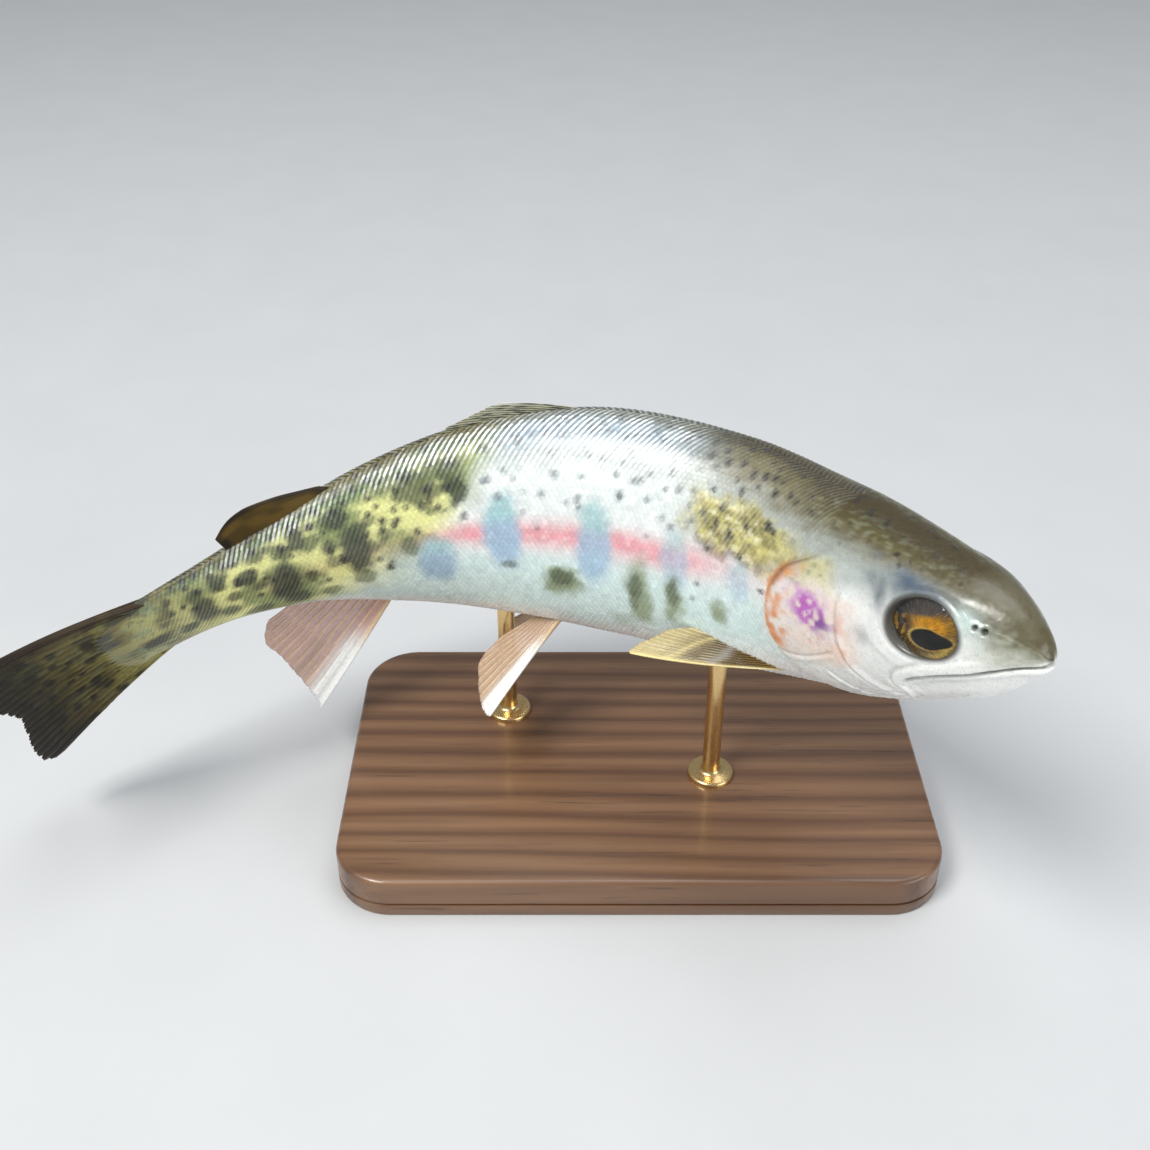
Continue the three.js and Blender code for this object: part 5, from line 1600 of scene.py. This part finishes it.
def build_fins():
    soft = fin_material("fin_skin")
    thick = fin_material("fin_skin_rear", 0.48, 0.08, 0.25)
    median = {
        "dorsal_fin": dict(root=lambda u: (lerp(0.478, 0.602, u), back_at(lerp(0.478, 0.602, u)) - 1.6), dir=lambda u: lerp(8.5, 3, u),
                           reach=lambda u: lerp(22.5, 11.5, u ** 0.8) * trim(u, 0.06, 0.25), lean=-45, curl=-4, forked=False),
        "adipose_fin": dict(root=lambda u: (lerp(0.765, 0.880, u), back_at(lerp(0.765, 0.880, u)) - 1.4), dir=lambda u: lerp(36, 74, u),
                            reach=lambda u: 2.2 + 5.9 * np.sin(np.pi * (0.05 + 0.80 * u)), lean=0, curl=4, forked=False),
        "anal_fin": dict(root=lambda u: (lerp(0.735, 0.832, u), belly_at(lerp(0.735, 0.832, u)) + 1.6), dir=lambda u: lerp(-46, -24, u),
                         reach=lambda u: lerp(32.5, 12.5, u ** 0.65) * trim(u, 0.05, 0.34), lean=30, curl=8, forked=False),
        "caudal_fin": dict(root=lambda u: (0.972 + 0.012 * (1 - (2 * u - 1) ** 2), lerp(8.2, -8.4, u)), dir=lambda u: lerp(25, -25, u),
                           reach=lambda u: 26 + 9.5 * np.abs(2 * u - 1) ** 1.5 - 4 * np.maximum(0, (np.abs(2 * u - 1) - 0.8) / 0.2) ** 2,
                           lean=0, curl=3, forked=True),
    }
    looks = {  # rays, columns, rows, root and edge thickness, colours
        "dorsal_fin": (12, 133, 44, 1.1, 0.34, dorsal_colours, soft, 3),
        "adipose_fin": (1, 57, 30, 1.3, 0.55, adipose_colours, thick, 4),
        "anal_fin": (11, 122, 50, 1.1, 0.34, anal_colours, soft, 5),
        "caudal_fin": (20, 241, 64, 1.7, 0.38, caudal_colours, thick, 6),
    }
    for name, f in median.items():
        at = median_at(f)
        rays, nu, nv, t0, t1, colours, mat, seed = looks[name]

        def points(u, v, at=at):
            return flex(*at(u, v))
        if name == "adipose_fin":
            def fleshy(u, v, ray, c=adipose_colours):
                return c(u, v, ray)
            fin_mesh(name + "_flesh", points, rays, nu, nv, t0, t1, fleshy, mat, [name], ripple=0.05, ragged=0.004, seed=seed, branch=2.0)
        else:
            fin_mesh(name + "_rayed", points, rays, nu, nv, t0, t1, colours, mat, [name], seed=seed, ripple=0.18 if name == "caudal_fin" else 0.26)
    paired = {
        "pectoral_fin": dict(at=0.266, base=[[0, 5.3, -15.0], [3.6, 7.2, -11.0]], lead=[0.85, 0.53, -0.10], last=[0.95, 0.33, -0.03],
                             reach=lambda u: lerp(28.6, 14.0, u ** 1.2) * trim(u, 0.04, 0.30), bow=-3.2),
        "pelvic_fin": dict(at=0.545, base=[[0, 3.4, -18.6], [5.0, 2.0, -19.4]], lead=[0.50, 0.60, -0.62], last=[0.84, 0.20, -0.50],
                           reach=lambda u: lerp(23, 13.5, u ** 0.9) * trim(u, 0.06, 0.34), bow=1.2),
    }
    for name, f in paired.items():
        for word, side in (("right", 1), ("left", -1)):
            at = paired_at(f, side)
            if name == "pectoral_fin":
                fin_mesh(f"pectoral_rayed_{word}", at, 13, 144, 52, 1.2, 0.34, pectoral_colours, soft, [f"{name}_{word}"], seed=11 + side, ripple=0.2)
            else:
                fin_mesh(f"pelvic_rayed_{word}", at, 9, 100, 46, 1.1, 0.34, pelvic_colours, soft, [f"{name}_{word}"], seed=15 + side, ripple=0.2)


build_fins()


# ------------------------------------------------------------------ the stand
BASE = dict(long=106.0, wide=64.0, thick=8.0, corner=10.0, bevel=1.0)


def wood_material():
    m = Nodes("walnut")
    co = m.coords(1.0, (1.0, 7.0, 3.0))
    warp = m.noise(co, 14, 3, 0.5)
    rings = m.add("ShaderNodeTexWave", wave_type="BANDS", bands_direction="Y")
    rings.inputs["Scale"].default_value = 62
    rings.inputs["Distortion"].default_value = 7.5
    rings.inputs["Detail"].default_value = 2.5
    rings.inputs["Detail Scale"].default_value = 0.55
    m.link(m.coords(1.0, (0.16, 1.0, 1.0)), rings.inputs["Vector"])
    pores = m.noise(m.coords(1.0, (30, 900, 500)), 1.6, 3, 0.6)
    streak = m.noise(m.coords(1.0, (12, 330, 200)), 1.5, 4, 0.6)
    col = m.ramp(rings.outputs["Fac"], [(0.0, (0.105, 0.050, 0.025)), (0.22, (0.150, 0.076, 0.038)), (0.75, (0.195, 0.102, 0.052)), (1.0, (0.215, 0.116, 0.060))])
    col = m.mix(m.range(streak, 0.40, 0.68, 0, 0.50), col, (0.105, 0.050, 0.026, 1))
    col = m.mix(m.range(warp, 0.35, 0.7, 0, 0.18), col, (0.11, 0.052, 0.026, 1))
    col = m.mix(m.range(pores, 0.60, 0.72, 0, 0.55), col, (0.035, 0.017, 0.010, 1))
    m.set(base=col, rough=m.range(pores, 0.35, 0.7, 0.30, 0.48), spec=0.5, coat=0.35, coat_rough=0.14,
          normal=m.bump(m.math("ADD", pores, m.math("MULTIPLY", rings.outputs["Fac"], 0.25)), 0.22, 0.00012))
    return m.mat


def brass_material():
    m = Nodes("brushed_brass")
    lines = m.noise(m.coords(1.0, (1, 1, 0.06)), 2600, 3, 0.6)
    tarnish = m.noise(m.coords(), 60, 3, 0.5)
    col = m.mix(m.range(tarnish, 0.4, 0.75, 0, 0.35), (0.78, 0.56, 0.26, 1), (0.60, 0.42, 0.20, 1))
    m.set(base=col, metal=1.0, rough=m.range(lines, 0.3, 0.7, 0.22, 0.32), normal=m.bump(lines, 0.06, 0.00003))
    return m.mat


def build_plinth():
    """Rounded board with a softly worn top edge and a fine shadow groove round it."""
    b = BASE
    n = 18

    def outline(inset):
        x, y, r = b["long"] / 2 - inset, b["wide"] / 2 - inset, b["corner"] - inset
        pts = []
        for cx, cy, a0 in ((x - r, y - r, 0), (-x + r, y - r, 90), (-x + r, -y + r, 180), (x - r, -y + r, 270)):
            for k in range(n + 1):
                a = math.radians(a0 + 90 * k / n)
                pts.append((cx + r * math.cos(a), cy + r * math.sin(a)))
        # extra points along the straight sides
        out = []
        for k, p in enumerate(pts):
            q = pts[(k + 1) % len(pts)]
            d = math.hypot(q[0] - p[0], q[1] - p[1])
            m = max(1, int(d / 6))
            out += [(p[0] + (q[0] - p[0]) * i / m, p[1] + (q[1] - p[1]) * i / m) for i in range(m)]
        return np.array(out)
    t, e = b["thick"], b["bevel"]
    prof = [(0.6, 0.0), (0.15, 0.12), (0.0, 0.5), (0.0, 2.1), (0.0, 2.3), (0.45, 2.45), (0.45, 2.85), (0.0, 3.0), (0.0, 3.2), (0.0, t - e)]
    prof += [(e * (1 - math.cos(math.radians(k))), t - e + e * math.sin(math.radians(k))) for k in (15, 30, 45, 60, 75, 90)]
    prof += [(e + 1.5, t), (e + 5, t)]
    counts = len(outline(0.0))
    rings = []
    for inset, z in prof:
        p = outline(min(inset, b["corner"] - 1.0))
        if len(p) != counts:      # keep the same number of points round each ring
            src = outline(0.0)
            p = src * (1 - inset / np.array([b["long"] / 2, b["wide"] / 2]))
        rings.append(np.column_stack([p, np.full(counts, z)]))
    V = np.concatenate(rings)
    q = grid_faces(len(rings), counts, closed=True, flip=True)
    top = np.array([[0, 0, t]])
    bot = np.array([[0, 0, 0.0]])
    V = np.concatenate([V, top, bot])
    j = np.arange(counts)
    k0 = (len(rings) - 1) * counts
    tris = np.concatenate([np.stack([np.full(counts, len(V) - 2), k0 + j, k0 + (j + 1) % counts], -1),
                           np.stack([np.full(counts, len(V) - 1), (j + 1) % counts, j], -1)])
    ob = add_mesh("plinth_board", V, q, tris, smooth=False)
    ob.data.polygons.foreach_set("use_smooth", np.ones(len(ob.data.polygons), bool))
    ob.data.set_sharp_from_angle(angle=math.radians(32))
    finish_piece(ob, wood_material(), "plinth", "stand_base")


def build_rod(name, node, mat):
    lo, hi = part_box(node)
    cx, cy = (lo[0] + hi[0]) / 2 / MM, (lo[1] + hi[1]) / 2 / MM
    top = hi[2] / MM
    t = BASE["thick"]
    prof = [(0.0, t), (4.2, t), (4.2, t + 0.75), (4.05, t + 0.98), (3.75, t + 1.1), (2.5, t + 1.22), (2.05, t + 1.34), (1.80, t + 1.6),
            (1.6, t + 2.0), (1.6, t + 2.05), (1.6, (t + top) / 2), (1.6, top - 0.35), (1.45, top - 0.1), (1.2, top), (0.0, top)]
    n = 56
    a = np.linspace(0, 2 * np.pi, n, endpoint=False)
    V = np.concatenate([np.stack([cx + r * np.cos(a), cy + r * np.sin(a), np.full(n, z)], -1) for r, z in prof])
    ob = add_mesh(name, V, grid_faces(len(prof), n, closed=True, flip=True))
    ob.data.set_sharp_from_angle(angle=math.radians(40))
    finish_piece(ob, mat, "rod", node)


build_plinth()
_brass = brass_material()
build_rod("rod_front", "stand_rod_front", _brass)
build_rod("rod_rear", "stand_rod_rear", _brass)


# ------------------------------------------------------------------ studio
def build_floor():
    n = 33
    g = np.linspace(-1, 1, n)
    gx, gy = np.meshgrid(np.sign(g) * np.abs(g) ** 2.2 * 4000, np.sign(g) * np.abs(g) ** 2.2 * 4000, indexing="ij")
    V = np.stack([gx, gy, np.zeros_like(gx)], -1).reshape(-1, 3)
    ob = add_mesh("studio_floor", V, grid_faces(n, n))
    m = Nodes("pale_floor")
    fine = m.noise(m.coords(), 40, 4, 0.5)
    m.set(base=m.mix(fine, (0.53, 0.54, 0.55, 1), (0.57, 0.58, 0.59, 1)), rough=0.62, spec=0.2)
    ob.data.materials.append(m.mat)


def area(name, at, to, size, watts, colour=(1, 1, 1)):
    light = bpy.data.lights.new(name, "AREA")
    light.shape, light.size, light.energy, light.color = "SQUARE", size, watts, colour
    ob = bpy.data.objects.new(name, light)
    bpy.context.scene.collection.objects.link(ob)
    ob.location = at
    from mathutils import Vector
    ob.rotation_mode = "QUATERNION"
    ob.rotation_quaternion = (Vector(to) - Vector(at)).to_track_quat("-Z", "Y")
    return ob


build_floor()
area("key", (-0.40, -0.34, 0.80), (0, 0, 0.05), 0.34, 7.6, (1.0, 0.985, 0.955))
area("sky", (0.18, 0.12, 0.95), (0, 0, 0.05), 0.70, 4.2, (0.94, 0.97, 1.0))
area("fill", (0.70, -0.55, 0.30), (0, 0, 0.05), 0.55, 3.3, (1.0, 0.98, 0.95))
world = bpy.data.worlds.new("studio")
world.use_nodes = True
world.node_tree.nodes["Background"].inputs[0].default_value = (0.86, 0.90, 0.95, 1)
world.node_tree.nodes["Background"].inputs[1].default_value = 0.34
bpy.context.scene.world = world
bpy.context.scene.view_settings.view_transform = "Standard"

cam = bpy.data.cameras.new("view")
cam.sensor_width, cam.lens = 36.0, 43.826
cam.clip_start, cam.clip_end = 0.01, 30
camera = bpy.data.objects.new("view", cam)
bpy.context.scene.collection.objects.link(camera)
camera.location = (-0.011163, -0.196028, 0.186562)
camera.rotation_euler = (math.radians(55), 0, 0)
bpy.context.scene.camera = camera
